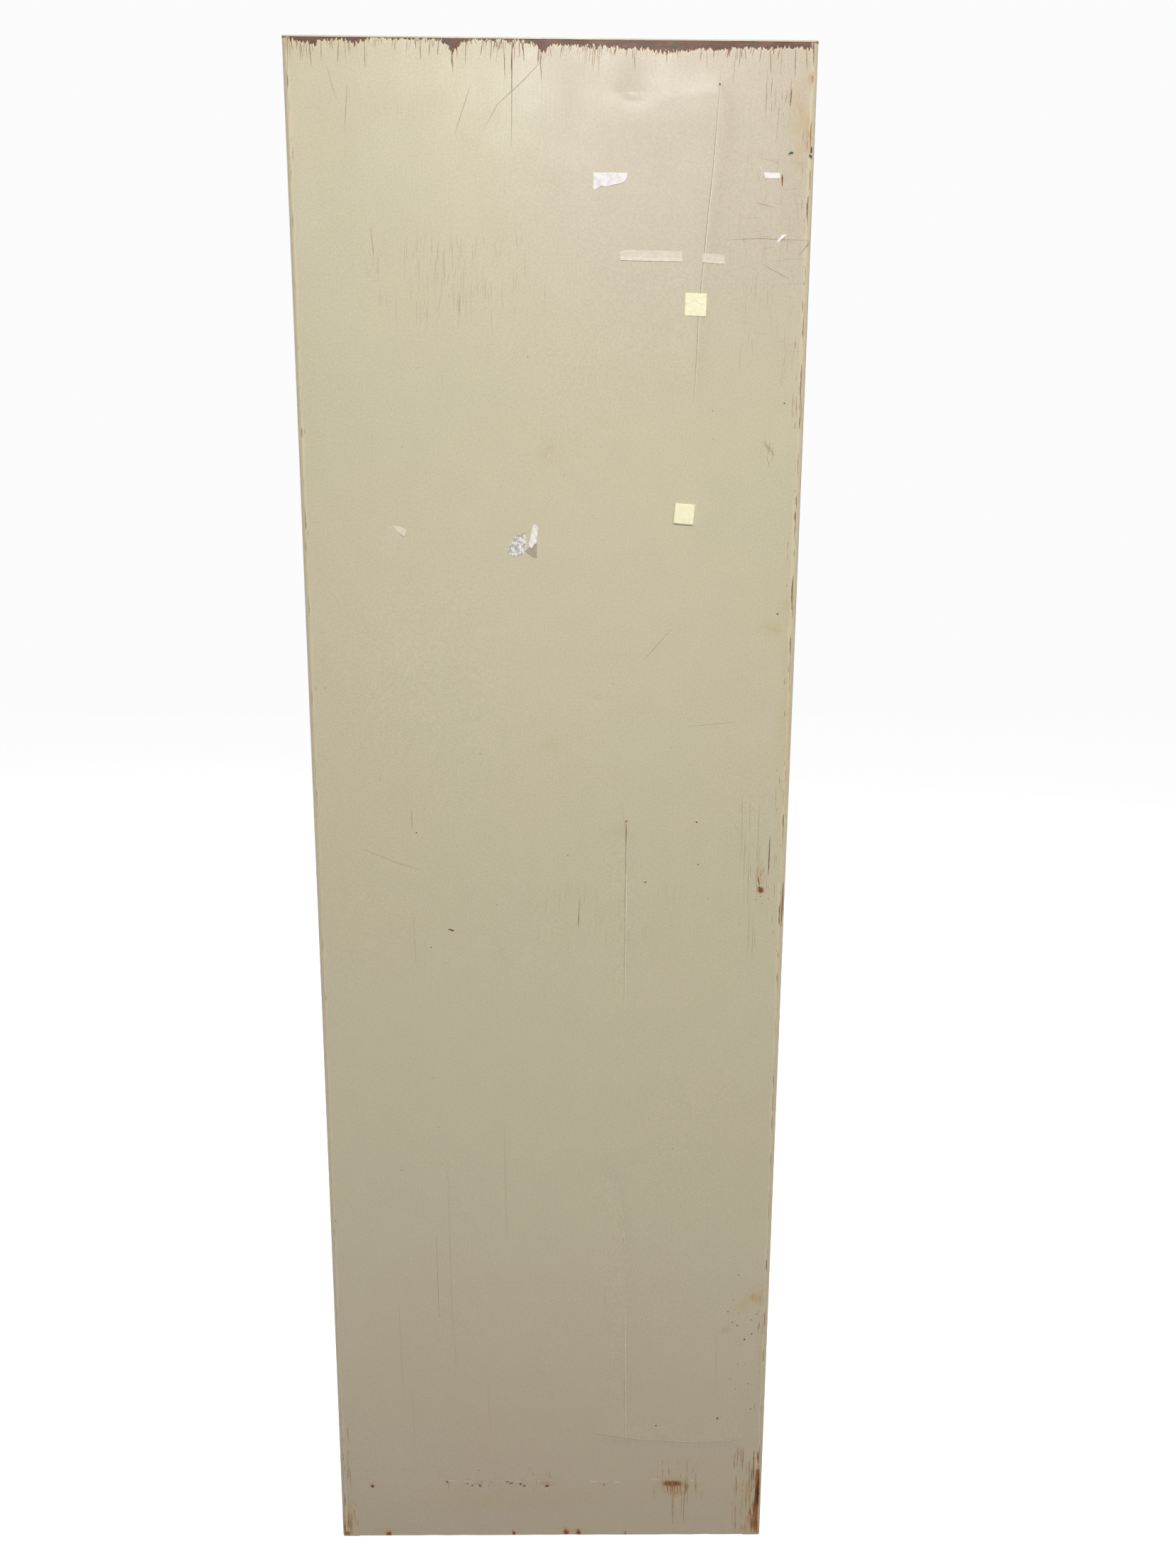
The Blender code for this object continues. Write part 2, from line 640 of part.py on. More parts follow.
def riser(red, steel):
    """The riser's two pipes and the plates round them where they leave the cabinet."""
    centre = (RISER_X, RISER_Y)
    runs = {
        "riser_pipe_lower": (RISER_END, VALVE_Z - PIPE_IN_TEE),
        "riser_pipe_upper": (VALVE_Z + PIPE_IN_TEE, HEIGHT - RISER_END),
    }
    for name, (bottom, top) in runs.items():
        ring(name, PIPE_BORE, PIPE_RADIUS, "Z", centre, bottom, top, FINE, red)
    radius = PIPE_RADIUS + PIPE_ROOM + ESCUTCHEON_LAP
    plates = {"floor": FLOOR_LEVEL + GAP, "top": HEIGHT - BODY_SHEET - GAP - ESCUTCHEON}
    for place, z in plates.items():
        name = f"escutcheon_{place}"
        ring(name, SOCKET_RADIUS, radius, "Z", centre, z, z + ESCUTCHEON, FINE, steel)


def riser_supports(paint, steel):
    """Channels across the cabinet's back, each with a U-bolt round the riser and two nuts."""
    spread = PIPE_RADIUS + GAP + ROD_RADIUS
    back = Y_WEB + BODY_SHEET
    legs = {"left": RISER_X - spread, "right": RISER_X + spread}
    for place, z in CHANNELS.items():
        half = (CHANNEL_HEIGHT - BODY_SHEET) / 2
        web = Y_WEB + BODY_SHEET / 2
        path = ((Y_CHANNEL, z - half), (web, z - half), (web, z + half), (Y_CHANNEL, z + half))
        channel = prism(f"channel_{place}", folded(path, BODY_SHEET), "X", -INNER_SIDE, INNER_SIDE, paint)
        for side, x in legs.items():
            radius = ROD_RADIUS + ROD_ROOM
            name = f"channel_{place}_hole_{side}"
            cut(channel, rod(name, radius, "Y", (x, z), Y_WEB - CLEAR, back + CLEAR, SMALL))
            start = back + GAP
            end = start + ROD_NUT
            nut = hexagon(f"u_bolt_{place}_nut_{side}", ROD_NUT_FLATS, "Y", (x, z), start, end, steel)
            radius = ROD_RADIUS + GAP
            name = f"nut_{place}_{side}_bore"
            cut(nut, rod(name, radius, "Y", (x, z), back - CLEAR, end + CLEAR, SMALL))
        bend = circle((RISER_X, RISER_Y), spread, MEDIUM, math.pi, math.pi)
        path = [(legs["left"], back + ROD_END), *bend, (legs["right"], back + ROD_END)]
        tube(f"u_bolt_{place}", [(x, y, z) for x, y in path], ROD_RADIUS, RIM_SIDES, steel)


def socket_bore(name, axis, centre, start, end, reversed_too):
    """A cutter for a through bore with a pipe socket at its end, or at both."""
    profile = [(PIPE_BORE, start), (PIPE_BORE, end - SOCKET_DEPTH)]
    if reversed_too:
        profile = [
            (SOCKET_RADIUS, start - CLEAR),
            (SOCKET_RADIUS, start + SOCKET_DEPTH),
            (PIPE_BORE, start + SOCKET_DEPTH),
            (PIPE_BORE, end - SOCKET_DEPTH),
        ]
    profile += [(SOCKET_RADIUS, end - SOCKET_DEPTH), (SOCKET_RADIUS, end + CLEAR)]
    return turned(name, profile, axis, centre, FINE)


def tee_and_nipple(red):
    """The tee in the riser, and the short pipe from it to the valve."""
    run = [(TEE_BAND_RADIUS, -TEE_REACH), (TEE_BAND_RADIUS, TEE_BAND - TEE_REACH)]
    run += [(TEE_RADIUS, TEE_BAND - TEE_REACH), (TEE_RADIUS, TEE_REACH - TEE_BAND)]
    run += [(TEE_BAND_RADIUS, TEE_REACH - TEE_BAND), (TEE_BAND_RADIUS, TEE_REACH)]
    centre = (RISER_X, RISER_Y)
    tee = turned("riser_tee", [(r, VALVE_Z + z) for r, z in run], "Z", centre, FINE, red)
    across = (RISER_Y, VALVE_Z)
    branch = [(TEE_RADIUS, 0), (TEE_RADIUS, TEE_REACH - TEE_BAND)] + run[-2:]
    join(tee, turned("tee_branch", [(r, RISER_X + x) for r, x in branch], "X", across, FINE))
    cut(tee, socket_bore("tee_run_bore", "Z", centre, VALVE_Z - TEE_REACH, VALVE_Z + TEE_REACH, True))
    cut(tee, socket_bore("tee_branch_bore", "X", across, RISER_X, RISER_X + TEE_REACH, False))
    start = RISER_X + TEE_REACH - SOCKET_DEPTH + GAP
    end = VALVE_X - INLET_REACH + SOCKET_DEPTH - GAP
    ring("inlet_nipple", PIPE_BORE, PIPE_RADIUS, "X", across, start, end, FINE, red)


def valve_housing(brass):
    """The angle valve's body, bonnet and packing nut, with the outlet pointing down."""
    across = (RISER_Y, VALVE_Z)
    down = (VALVE_X, RISER_Y)
    waist = INLET_HEX - INLET_REACH
    shape = (
        (PIPE_RADIUS + INLET_WALL, waist - CLEAR),
        (BODY_RADIUS, waist + BODY_TAPER),
        (BODY_RADIUS, BODY_END - BODY_TAPER),
        (CHAMBER_RADIUS + CHAMBER_WALL, BODY_END),
    )
    body = turned("valve_body", [(r, VALVE_X + x) for r, x in shape], "X", across, FINE, brass)
    flats = 2 * (PIPE_RADIUS + INLET_HEX_WALL)
    join(body, hexagon("valve_inlet_hex", flats, "X", across, VALVE_X - INLET_REACH, VALVE_X + waist))
    shape = (
        (OUTLET_RADIUS, 0),
        (OUTLET_RADIUS, COLLAR_TOP),
        (COLLAR_RADIUS, COLLAR_TOP),
        (COLLAR_RADIUS, COLLAR_BOTTOM),
        (THREAD_RADIUS, COLLAR_BOTTOM),
        (THREAD_RADIUS, OUTLET_REACH - CHAMFER),
        (THREAD_RADIUS - CHAMFER, OUTLET_REACH),
    )
    join(body, turned("valve_outlet", [(r, VALVE_Z - z) for r, z in shape], "Z", down, FINE))
    shape = (
        (SOCKET_RADIUS, -INLET_REACH - CLEAR),
        (SOCKET_RADIUS, SOCKET_DEPTH - INLET_REACH),
        (SEAT_RADIUS, SOCKET_DEPTH - INLET_REACH),
        (SEAT_RADIUS, SEAT_X),
        (CHAMBER_RADIUS, SEAT_X),
        (CHAMBER_RADIUS, BODY_END + CLEAR),
    )
    cut(body, turned("valve_chamber", [(r, VALVE_X + x) for r, x in shape], "X", across, FINE))
    outlet_end = VALVE_Z - OUTLET_REACH - CLEAR
    cut(body, rod("valve_outlet_bore", OUTLET_BORE, "Z", down, outlet_end, VALVE_Z, ROUND))

    hex_start = BODY_END + GAP
    shape = (
        (CHAMBER_RADIUS - GAP, BODY_END - BONNET_PLUG),
        (CHAMBER_RADIUS - GAP, hex_start + BONNET_HEX / 2),
        (BONNET_NECK_RADIUS, hex_start + BONNET_HEX / 2),
        (BONNET_NECK_RADIUS, BONNET_REACH),
    )
    bonnet = turned("valve_bonnet", [(r, VALVE_X + x) for r, x in shape], "X", across, FINE, brass)
    hex_ends = (VALVE_X + hex_start, VALVE_X + hex_start + BONNET_HEX)
    join(bonnet, hexagon("bonnet_hex", BONNET_FLATS, "X", across, *hex_ends))
    bore_ends = (VALVE_X + BODY_END - BONNET_PLUG - CLEAR, VALVE_X + BONNET_REACH + CLEAR)
    cut(bonnet, rod("bonnet_bore", STEM_RADIUS + GAP, "X", across, *bore_ends, MEDIUM))

    start = BONNET_REACH - PACKING_OVERLAP
    nut_ends = (VALVE_X + start, VALVE_X + start + PACKING_NUT)
    nut = hexagon("packing_nut", PACKING_FLATS, "X", across, *nut_ends, brass)
    shape = (
        (BONNET_NECK_RADIUS + GAP, start - CLEAR),
        (BONNET_NECK_RADIUS + GAP, BONNET_REACH + GAP),
        (STEM_RADIUS + GAP, BONNET_REACH + GAP),
        (STEM_RADIUS + GAP, start + PACKING_NUT + CLEAR),
    )
    cut(nut, turned("packing_nut_bore", [(r, VALVE_X + x) for r, x in shape], "X", across, FINE))


def valve_disc_and_wheel(brass, red, steel):
    """The disc on its seat, and the stem, handwheel and nut that turn and lift it."""
    across = (RISER_Y, VALVE_Z)
    face = VALVE_X + SEAT_X + GAP
    back = face + DISC
    hub_end = back + DISC_HUB
    seat = hub_end - STEM_SEAT
    bore = STEM_TIP_RADIUS + GAP
    shape = (
        (0, face),
        (DISC_RADIUS, face),
        (DISC_RADIUS, back),
        (DISC_HUB_RADIUS, back),
        (DISC_HUB_RADIUS, hub_end),
        (bore, hub_end),
        (bore, seat),
        (0, seat),
    )
    disc = turned("valve_disc", shape, "X", across, ROUND, brass)
    nut_start = VALVE_X + WHEEL_FACE + WHEEL_HUB + GAP
    shape = (
        (STEM_TIP_RADIUS, seat + GAP),
        (STEM_TIP_RADIUS, hub_end + GAP),
        (STEM_RADIUS, hub_end + GAP),
        (STEM_RADIUS, VALVE_X + WHEEL_FACE - GAP),
        (WHEEL_BORE, VALVE_X + WHEEL_FACE - GAP),
        (WHEEL_BORE, nut_start + WHEEL_NUT + STEM_END),
    )
    stem = turned("valve_stem", shape, "X", across, MEDIUM, brass)

    centre = VALVE_X + WHEEL_X
    section = circle((WHEEL_RADIUS, centre), RIM_RADIUS, RIM_SIDES, math.pi / RIM_SIDES)
    wheel = turned("handwheel", section, "X", across, ROUND, red, closed=True)
    hub_ends = (VALVE_X + WHEEL_FACE, VALVE_X + WHEEL_FACE + WHEEL_HUB)
    join(wheel, rod("handwheel_hub", WHEEL_HUB_RADIUS, "X", across, *hub_ends, MEDIUM))
    for i in range(SPOKES):
        turn = Matrix.Rotation(2 * math.pi * i / SPOKES + math.pi / 2, 2)
        ends = ((WHEEL_BORE, -1), (WHEEL_RADIUS, -1), (WHEEL_RADIUS, 1), (WHEEL_BORE, 1))
        outline = [turn @ Vector((reach, side * SPOKE_WIDTH / 2)) + Vector(across) for reach, side in ends]
        join(wheel, prism(f"handwheel_spoke_{i}", outline, "X", centre - SPOKE / 2, centre + SPOKE / 2))
    bore = WHEEL_BORE + GAP
    cut(wheel, rod("handwheel_bore", bore, "X", across, hub_ends[0] - CLEAR, hub_ends[1] + CLEAR, MEDIUM))
    nut = hexagon("wheel_nut", WHEEL_NUT_FLATS, "X", across, nut_start, nut_start + WHEEL_NUT, steel)
    bore_ends = (nut_start - CLEAR, nut_start + WHEEL_NUT + CLEAR)
    cut(nut, rod("wheel_nut_bore", bore, "X", across, *bore_ends, MEDIUM))
    carrier("valve_axis", (VALVE_X, RISER_Y, VALVE_Z), [disc, stem, wheel, nut])


def outlet_cap(brass, rubber):
    """The cap on the valve's outlet, and its seal."""
    centre = (VALVE_X, RISER_Y)
    bottom = CAP_INSIDE + CAP_FLOOR
    shape = (
        (0, CAP_INSIDE),
        (THREAD_RADIUS + GAP, CAP_INSIDE),
        (THREAD_RADIUS + GAP, CAP_RIM),
        (CAP_RADIUS, CAP_RIM),
        (CAP_RADIUS, bottom - CAP_BEVEL),
        (CAP_RADIUS - CAP_BEVEL, bottom),
        (CAP_BOSS_RADIUS, bottom),
        (CAP_BOSS_RADIUS, bottom + CAP_BOSS),
        (0, bottom + CAP_BOSS),
    )
    cap = turned("outlet_cap", [(r, VALVE_Z - z) for r, z in shape], "Z", centre, FINE, brass)
    top = VALVE_Z - CAP_RIM - LUG_DROP
    for side in (-1, 1):
        near = VALVE_X + side * (CAP_RADIUS - CLEAR)
        far = VALVE_X + side * LUG_REACH
        low = (min(near, far), RISER_Y - LUG_WIDTH / 2, top - LUG_HEIGHT)
        high = (max(near, far), RISER_Y + LUG_WIDTH / 2, top)
        join(cap, box(f"cap_lug_{side}", low, high))
    seal_ends = (VALVE_Z - SEAL_TOP - SEAL, VALVE_Z - SEAL_TOP)
    seal = ring("outlet_cap_seal", SEAL_BORE, THREAD_RADIUS, "Z", centre, *seal_ends, ROUND, rubber)
    carrier("outlet_axis", (VALVE_X, RISER_Y, VALVE_Z), [cap, seal])


def build():
    for existing in list(bpy.data.objects):
        bpy.data.objects.remove(existing, do_unlink=True)
    beige = material("beige_paint", (0.45, 0.40, 0.32), 0.42)
    red = material("red_paint", (0.45, 0.03, 0.02), 0.4)
    steel = material("zinc_plated_steel", (0.55, 0.55, 0.53), 0.35, 1.0)
    chrome = material("satin_chrome", (0.65, 0.65, 0.66), 0.25, 1.0)
    brass = material("cast_brass", (0.62, 0.42, 0.16), 0.38, 1.0)
    rubber = material("black_rubber", (0.025, 0.025, 0.025), 0.7)
    foam = material("foam_rubber", (0.78, 0.72, 0.48), 0.9)
    glass = material("clear_glass", (0.85, 0.9, 0.88), 0.05)

    cabinet_sheets(beige)
    back_pads(foam)
    door_stops(steel, rubber)
    riser(red, steel)
    riser_supports(beige, steel)
    tee_and_nipple(red)
    valve_housing(brass)
    valve_disc_and_wheel(brass, red, steel)
    outlet_cap(brass, rubber)
    on_door = hinges(steel) + door_panels(beige) + door_window(glass, rubber)
    on_door.append(latch(chrome, steel))
    door_axis = carrier("door_axis", (HINGE_X, HINGE_Y, (DOOR_BOTTOM + DOOR_TOP) / 2), on_door)
    latch_axis = bpy.data.objects["latch_axis"]
    latch_axis.parent = door_axis
    latch_axis.matrix_parent_inverse = Matrix.Translation(door_axis.location).inverted()


build()
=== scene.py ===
"""The looks of the standpipe cabinet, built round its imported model.

The cabinet is seen from behind. Its back is one big steel sheet: creased, dented, scratched, rusty
at its edges, with scraps of tape and paper and two foam squares stuck on it. Places on the back are
given as (u, v): u runs across the cabinet, from its left as seen from behind, and v runs up it.
Lengths are in metres, and in mm in the tables that say so.
"""

import json
import math

import bmesh
import bpy
import numpy as np
from mathutils import Matrix, Vector


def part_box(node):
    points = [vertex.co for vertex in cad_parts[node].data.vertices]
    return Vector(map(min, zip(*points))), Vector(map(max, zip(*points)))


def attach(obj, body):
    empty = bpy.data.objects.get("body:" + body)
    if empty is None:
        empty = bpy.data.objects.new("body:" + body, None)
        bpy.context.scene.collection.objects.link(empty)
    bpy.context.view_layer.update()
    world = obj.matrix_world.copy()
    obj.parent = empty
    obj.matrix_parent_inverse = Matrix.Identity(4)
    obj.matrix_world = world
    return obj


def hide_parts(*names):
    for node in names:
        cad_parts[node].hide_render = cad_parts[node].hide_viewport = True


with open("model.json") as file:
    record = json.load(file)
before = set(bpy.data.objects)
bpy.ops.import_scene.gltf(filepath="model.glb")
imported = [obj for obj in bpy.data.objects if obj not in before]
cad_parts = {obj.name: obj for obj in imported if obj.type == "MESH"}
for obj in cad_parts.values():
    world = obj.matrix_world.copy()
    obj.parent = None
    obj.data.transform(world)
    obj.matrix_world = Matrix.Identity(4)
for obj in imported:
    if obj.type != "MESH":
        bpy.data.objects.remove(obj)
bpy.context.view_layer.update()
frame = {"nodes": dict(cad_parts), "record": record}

MM = 0.001

# The cabinet's own sizes, from the frame
SHEET_LOW, SHEET_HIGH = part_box("back_panel")
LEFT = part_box("side_panel_right")[1].x  # the left side as seen from behind
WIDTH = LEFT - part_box("side_panel_left")[0].x
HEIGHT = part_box("top_panel")[1].z
Y_SHEET = SHEET_HIGH.y
SHEET = SHEET_HIGH.y - SHEET_LOW.y
FLANGE_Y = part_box("top_rail_rear")[1].y

# The back sheet's mesh
GRID = 4 * MM
SUPPORT = 34 * MM  # strip at the edges where flanges hold the sheet flat
FREE_OUT = 1.6 * MM  # furthest that the sheet bulges outwards
FREE_IN = 5 * MM  # and inwards
CHANNEL_GAP = 0.2 * MM
FREE_AT_CHANNEL = Y_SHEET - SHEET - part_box("channel_upper")[1].y - CHANNEL_GAP  # less at a channel
CHANNELS = [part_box(name) for name in ("channel_lower", "channel_upper")]
CHANNEL_HEIGHTS = [(low.z + high.z) / 2 for low, high in CHANNELS]
CHANNEL_HALF = 22 * MM  # half of the height over which a channel holds the sheet back
HELD = 0.12  # share of the relief that is left where the sheet is held flat
EDGE_BOW = 0.9 * MM  # how far the sheet's sides bow inwards,
EDGE_WAVE = 0.35 * MM  # and how far they wave
END_WAVE = 0.5 * MM  # and its ends
KINK = 2.2 * MM  # the left edge is bent in near the top
KINK_AT = 0.961
KINK_HALF = 7 * MM
LEFT_SPARED = 1 * MM  # the left edge is worn this much less far in than the right one
STUCK = 0.05 * MM  # room under anything stuck to the sheet
MARK_STEP = 3 * MM  # points along a scratch
DECAL_LOW = 0.02 * MM  # underside of a mark, above the sheet's face

CAMERA_PLACE = (-0.0312, Y_SHEET + 1.4195, 1.393)
CAMERA_YAW = -0.0111
CAMERA_PITCH = -0.1898
CAMERA_ROLL = 0.0056
CAMERA_LENS = 26.0
SENSOR = 36.0

# Studio lights: place, what it is aimed at, size, power, colour
LIGHTS = {
    "ceiling": ((-0.02, 2.4, 3.15), (-0.02, 0.1, 1.2), (0.9, 0.4), 41, (1.0, 0.96, 0.93)),
    "side": ((-1.9, 2.2, 2.1), (0.0, 0.1, 1.1), (0.3, 0.8), 16, (1.0, 0.98, 0.92)),
    "room": ((0.3, 3.4, 2.6), (0.0, 0.2, 1.3), (2.0, 1.0), 16, (1.0, 1.0, 0.93)),
    "window": ((0.1, 2.0, 1.3), (-0.05, 0.1, 1.2), (1.2, 0.8), 6, (1.0, 1.0, 0.93)),
    "front": ((-0.9, -2.9, 3.5), (0.0, 0.0, 0.9), (1.8, 1.0), 125, (1.0, 0.97, 0.93)),
    "front_left": ((3.0, -1.4, 1.9), (0.0, 0.0, 1.0), (0.8, 1.6), 60, (1.0, 0.98, 0.95)),
}
WORLD_LIGHT = 0.17  # what the surroundings throw on the cabinet
WORLD_SEEN = 0.97  # and how bright they look
FLOOR_REACH = 9.0
FLOOR_GLOW = 0.88

rng = np.random.default_rng(7)


def across(u):
    return LEFT - u * WIDTH


def up(v):
    return v * HEIGHT


def smooth(low, high, value):
    share = np.clip((value - low) / (high - low), 0, 1)
    return share * share * (3 - 2 * share)


def nearest(line, x, z):
    """For points (x, z), the signed distance to a line given in (u, v), plus on its left hand as
    seen from behind, and how far along it the nearest point is, from 0 to 1."""
    corners = [(across(u), up(v)) for u, v in line]
    lengths = [math.dist(a, b) for a, b in zip(corners, corners[1:])]
    best = np.full(np.shape(x), np.inf)
    side = np.zeros(np.shape(x))
    share = np.zeros(np.shape(x))
    done = 0.0
    for (a, b), length in zip(zip(corners, corners[1:]), lengths):
        way_x = (b[0] - a[0]) / length
        way_z = (b[1] - a[1]) / length
        t = np.clip((x - a[0]) * way_x + (z - a[1]) * way_z, 0, length)
        off_x = x - a[0] - t * way_x
        off_z = z - a[1] - t * way_z
        distance = np.hypot(off_x, off_z)
        closer = distance < best
        best = np.where(closer, distance, best)
        side = np.where(closer, np.sign(way_z * off_x - way_x * off_z), side)
        share = np.where(closer, (done + t) / sum(lengths), share)
        done += length
    return best * side, share


# ---------------------------------------------------------------- the back sheet's shape

# Creases: line, then in mm the depth (minus stands out) and the fold's reach on its left and right hand
CREASES = {
    "top": (((0.818, 0.984), (0.807, 0.931), (0.8, 0.908), (0.793, 0.881), (0.786, 0.853),
             (0.781, 0.8)), -2.0, 9, 34),
    "middle": (((0.657, 0.542), (0.658, 0.478), (0.658, 0.41)), 1.5, 9, 26),
    "low": (((0.62, 0.308), (0.652, 0.273), (0.666, 0.235), (0.668, 0.18), (0.672, 0.082)),
            2.2, 9, 30),
    "level": (((0.6, 0.087), (0.703, 0.082), (0.804, 0.08), (0.904, 0.08), (0.98, 0.084)),
              -1.6, 24, 7),
}

# The one sharp dent, near the top: place, then in mm depth, half width, and reach up and down
SHARP_DENT = (0.652, 0.9712, 2.6, 17, 26, 7)

# Dents: place, then in mm depth (minus bulges out), radius across and radius up
DENTS = (
    (0.735, 0.958, -1.4, 55, 36),
    (0.605, 0.786, 0.8, 9, 6),
    (0.554, 0.768, 1.1, 6, 7),
    (0.342, 0.637, 0.9, 4, 4),
    (0.344, 0.606, 0.9, 4, 4),
    (0.588, 0.62, 1.1, 6, 6),
    (0.663, 0.392, 0.8, 12, 7),
    (0.91, 0.64, 0.5, 30, 60),
    (0.14, 0.87, 0.5, 60, 70),
    (0.44, 0.93, -0.6, 90, 60),
    (0.933, 0.9, -0.5, 50, 70),
    (0.705, 0.093, 0.8, 7, 6),
    (0.256, 0.047, 0.7, 6, 6),
    (0.3, 0.0465, -0.6, 14, 5),
    (0.33, 0.043, 0.7, 6, 5),
    (0.4, 0.0465, -0.6, 14, 5),
    (0.488, 0.044, 0.8, 9, 5),
    (0.618, 0.0465, -0.6, 16, 5),
    (0.79, 0.044, 0.9, 15, 6),
    (0.34, 0.049, -0.7, 10, 5),
    (0.44, 0.048, -0.5, 10, 5),
    (0.075, 0.044, 0.6, 7, 5),
)

# Broad waves of the sheet: height, waves across and up the sheet, phase
WAVES = (
    (0.3 * MM, 1.0, 1.5, 0.4),
    (0.25 * MM, 1.7, 3.1, 2.1),
    (0.18 * MM, 0.6, 5.3, 4.0),
    (0.1 * MM, 3.3, 6.7, 1.2),
)


def relief(x, z):
    """How far the sheet stands out from its flat face, in metres."""
    u = (LEFT - x) / WIDTH
    v = z / HEIGHT
    height = np.zeros(np.shape(x))
    for size, waves_across, waves_up, phase in WAVES:
        height += size * np.sin(2 * math.pi * waves_across * u + phase) * np.cos(
            2 * math.pi * waves_up * v + 1.7 * phase)
    for line, *sizes in CREASES.values():
        depth, reach_left, reach_right = (size * MM for size in sizes)
        distance, share = nearest(line, x, z)
        reach = np.where(distance > 0, reach_left, reach_right)
        fade = smooth(0, 0.12, share) * smooth(1, 0.85, share)
        height -= depth * fade * np.exp(-np.abs(distance) / reach)
    for place_u, place_v, *sizes in DENTS:
        depth, radius_across, radius_up = (size * MM for size in sizes)
        from_middle = ((x - across(place_u)) / radius_across) ** 2 + ((z - up(place_v)) / radius_up) ** 2
        height -= depth * np.exp(-from_middle)
    place_u, place_v, *sizes = SHARP_DENT
    depth, half, reach_up, reach_down = (size * MM for size in sizes)
    above = z - up(place_v)
    reach = np.where(above > 0, reach_up, reach_down)
    height -= depth * np.exp(-((x - across(place_u)) / half) ** 2 - np.abs(above) / reach)
    to_side = np.minimum(x - SHEET_LOW.x, SHEET_HIGH.x - x)
    to_end = np.minimum(z - SHEET_LOW.z, SHEET_HIGH.z - z)
    held = smooth(0, SUPPORT, to_side) * smooth(0, SUPPORT, to_end)
    to_channel = np.minimum(*[np.abs(z - middle) for middle in CHANNEL_HEIGHTS])
    away = smooth(CHANNEL_HALF, 3 * CHANNEL_HALF, to_channel)
    free = FREE_AT_CHANNEL + (FREE_IN - FREE_AT_CHANNEL) * away
    inward = (FLANGE_Y - Y_SHEET + SHEET) * (1 - held) - free * held
    return np.clip(height * (HELD + (1 - HELD) * held), inward, FREE_OUT)


# ---------------------------------------------------------------- node materials

def shader_tree(name, colour, roughness, metallic=0.0, **extra):
    """A new material, its node tree and its shader, with the values that are the same all over."""
    made = bpy.data.materials.new(name)
    made.use_nodes = True
    shader = made.node_tree.nodes["Principled BSDF"]
    shader.inputs["Base Color"].default_value = (*colour, 1)
    shader.inputs["Roughness"].default_value = roughness
    shader.inputs["Metallic"].default_value = metallic
    for socket, value in extra.items():
        shader.inputs[socket.replace("_", " ")].default_value = value
    return made, made.node_tree, shader


def node(tree, kind, inputs=(), **settings):
    """A node with its settings, and its inputs by name or number: a value, or a socket to link."""
    made = tree.nodes.new("ShaderNode" + kind)
    for key, value in settings.items():
        setattr(made, key, value)
    for key, value in dict(inputs).items():
        socket = made.inputs[key]
        if isinstance(value, bpy.types.NodeSocket):
            tree.links.new(value, socket)
        else:
            socket.default_value = value
    return made


def place(tree, scale=(1, 1, 1)):
    """Coordinates in metres on the piece, stretched by a scale."""
    where = node(tree, "TexCoord").outputs["Object"]
    return node(tree, "Mapping", {"Vector": where, "Scale": scale}).outputs["Vector"]


def noise(tree, scale, stretch=(1, 1, 1), detail=3.0, rough=0.55):
    made = node(tree, "TexNoise", {"Vector": place(tree, stretch), "Scale": scale, "Detail": detail,
                                   "Roughness": rough})
    return made.outputs["Fac"]


def math_node(tree, operation, a, b=0.0, c=0.0):
    return node(tree, "Math", {0: a, 1: b, 2: c}, operation=operation).outputs[0]


def times(tree, a, b):
    return math_node(tree, "MULTIPLY", a, b)


def between(tree, value, low, high, to_low=0.0, to_high=1.0):
    """value mapped from low..high to to_low..to_high, clamped."""
    made = node(tree, "MapRange", {"Value": value, "From Min": low, "From Max": high, "To Min": to_low,
                                   "To Max": to_high})
    return made.outputs["Result"]


def mix(tree, share, first, second, blend="MIX"):
    """Two colours mixed. Each is a socket or three numbers."""
    ends = [end if isinstance(end, bpy.types.NodeSocket) else (*end, 1) for end in (first, second)]
    made = node(tree, "Mix", {0: share, 6: ends[0], 7: ends[1]}, data_type="RGBA", blend_type=blend)
    return made.outputs[2]


def darker(tree, colour, shade):
    """A colour times a shade, which may be over 1."""
    grey = node(tree, "CombineColor", {0: shade, 1: shade, 2: shade}).outputs[0]
    return mix(tree, 1.0, colour, grey, "MULTIPLY")


def drive(tree, shader, **sockets):
    """Link sockets to the shader's inputs, named with _ for a space."""
    for name, socket in sockets.items():
        tree.links.new(socket, shader.inputs[name.replace("_", " ")])


def attribute(tree, name):
    return node(tree, "Attribute", attribute_name=name).outputs["Fac"]


def bump(tree, shader, heights):
    """Bumps stacked on the shader, from (height socket, strength, distance)."""
    normal = None
    for height, strength, distance in heights:
        inputs = {"Height": height, "Strength": strength, "Distance": distance}
        if normal:
            inputs["Normal"] = normal
        normal = node(tree, "Bump", inputs).outputs["Normal"]
    tree.links.new(normal, shader.inputs["Normal"])


BEIGE = (0.545, 0.49, 0.352)
BEIGE_PINK = (0.545, 0.457, 0.333)
BEIGE_GREEN = (0.535, 0.49, 0.345)
BEIGE_ROSE = (0.52, 0.455, 0.365)
PRIMER = (0.15, 0.052, 0.03)
RUST = (0.245, 0.078, 0.02)
RUST_DARK = (0.05, 0.02, 0.012)
STEEL_BARE = (0.22, 0.19, 0.16)


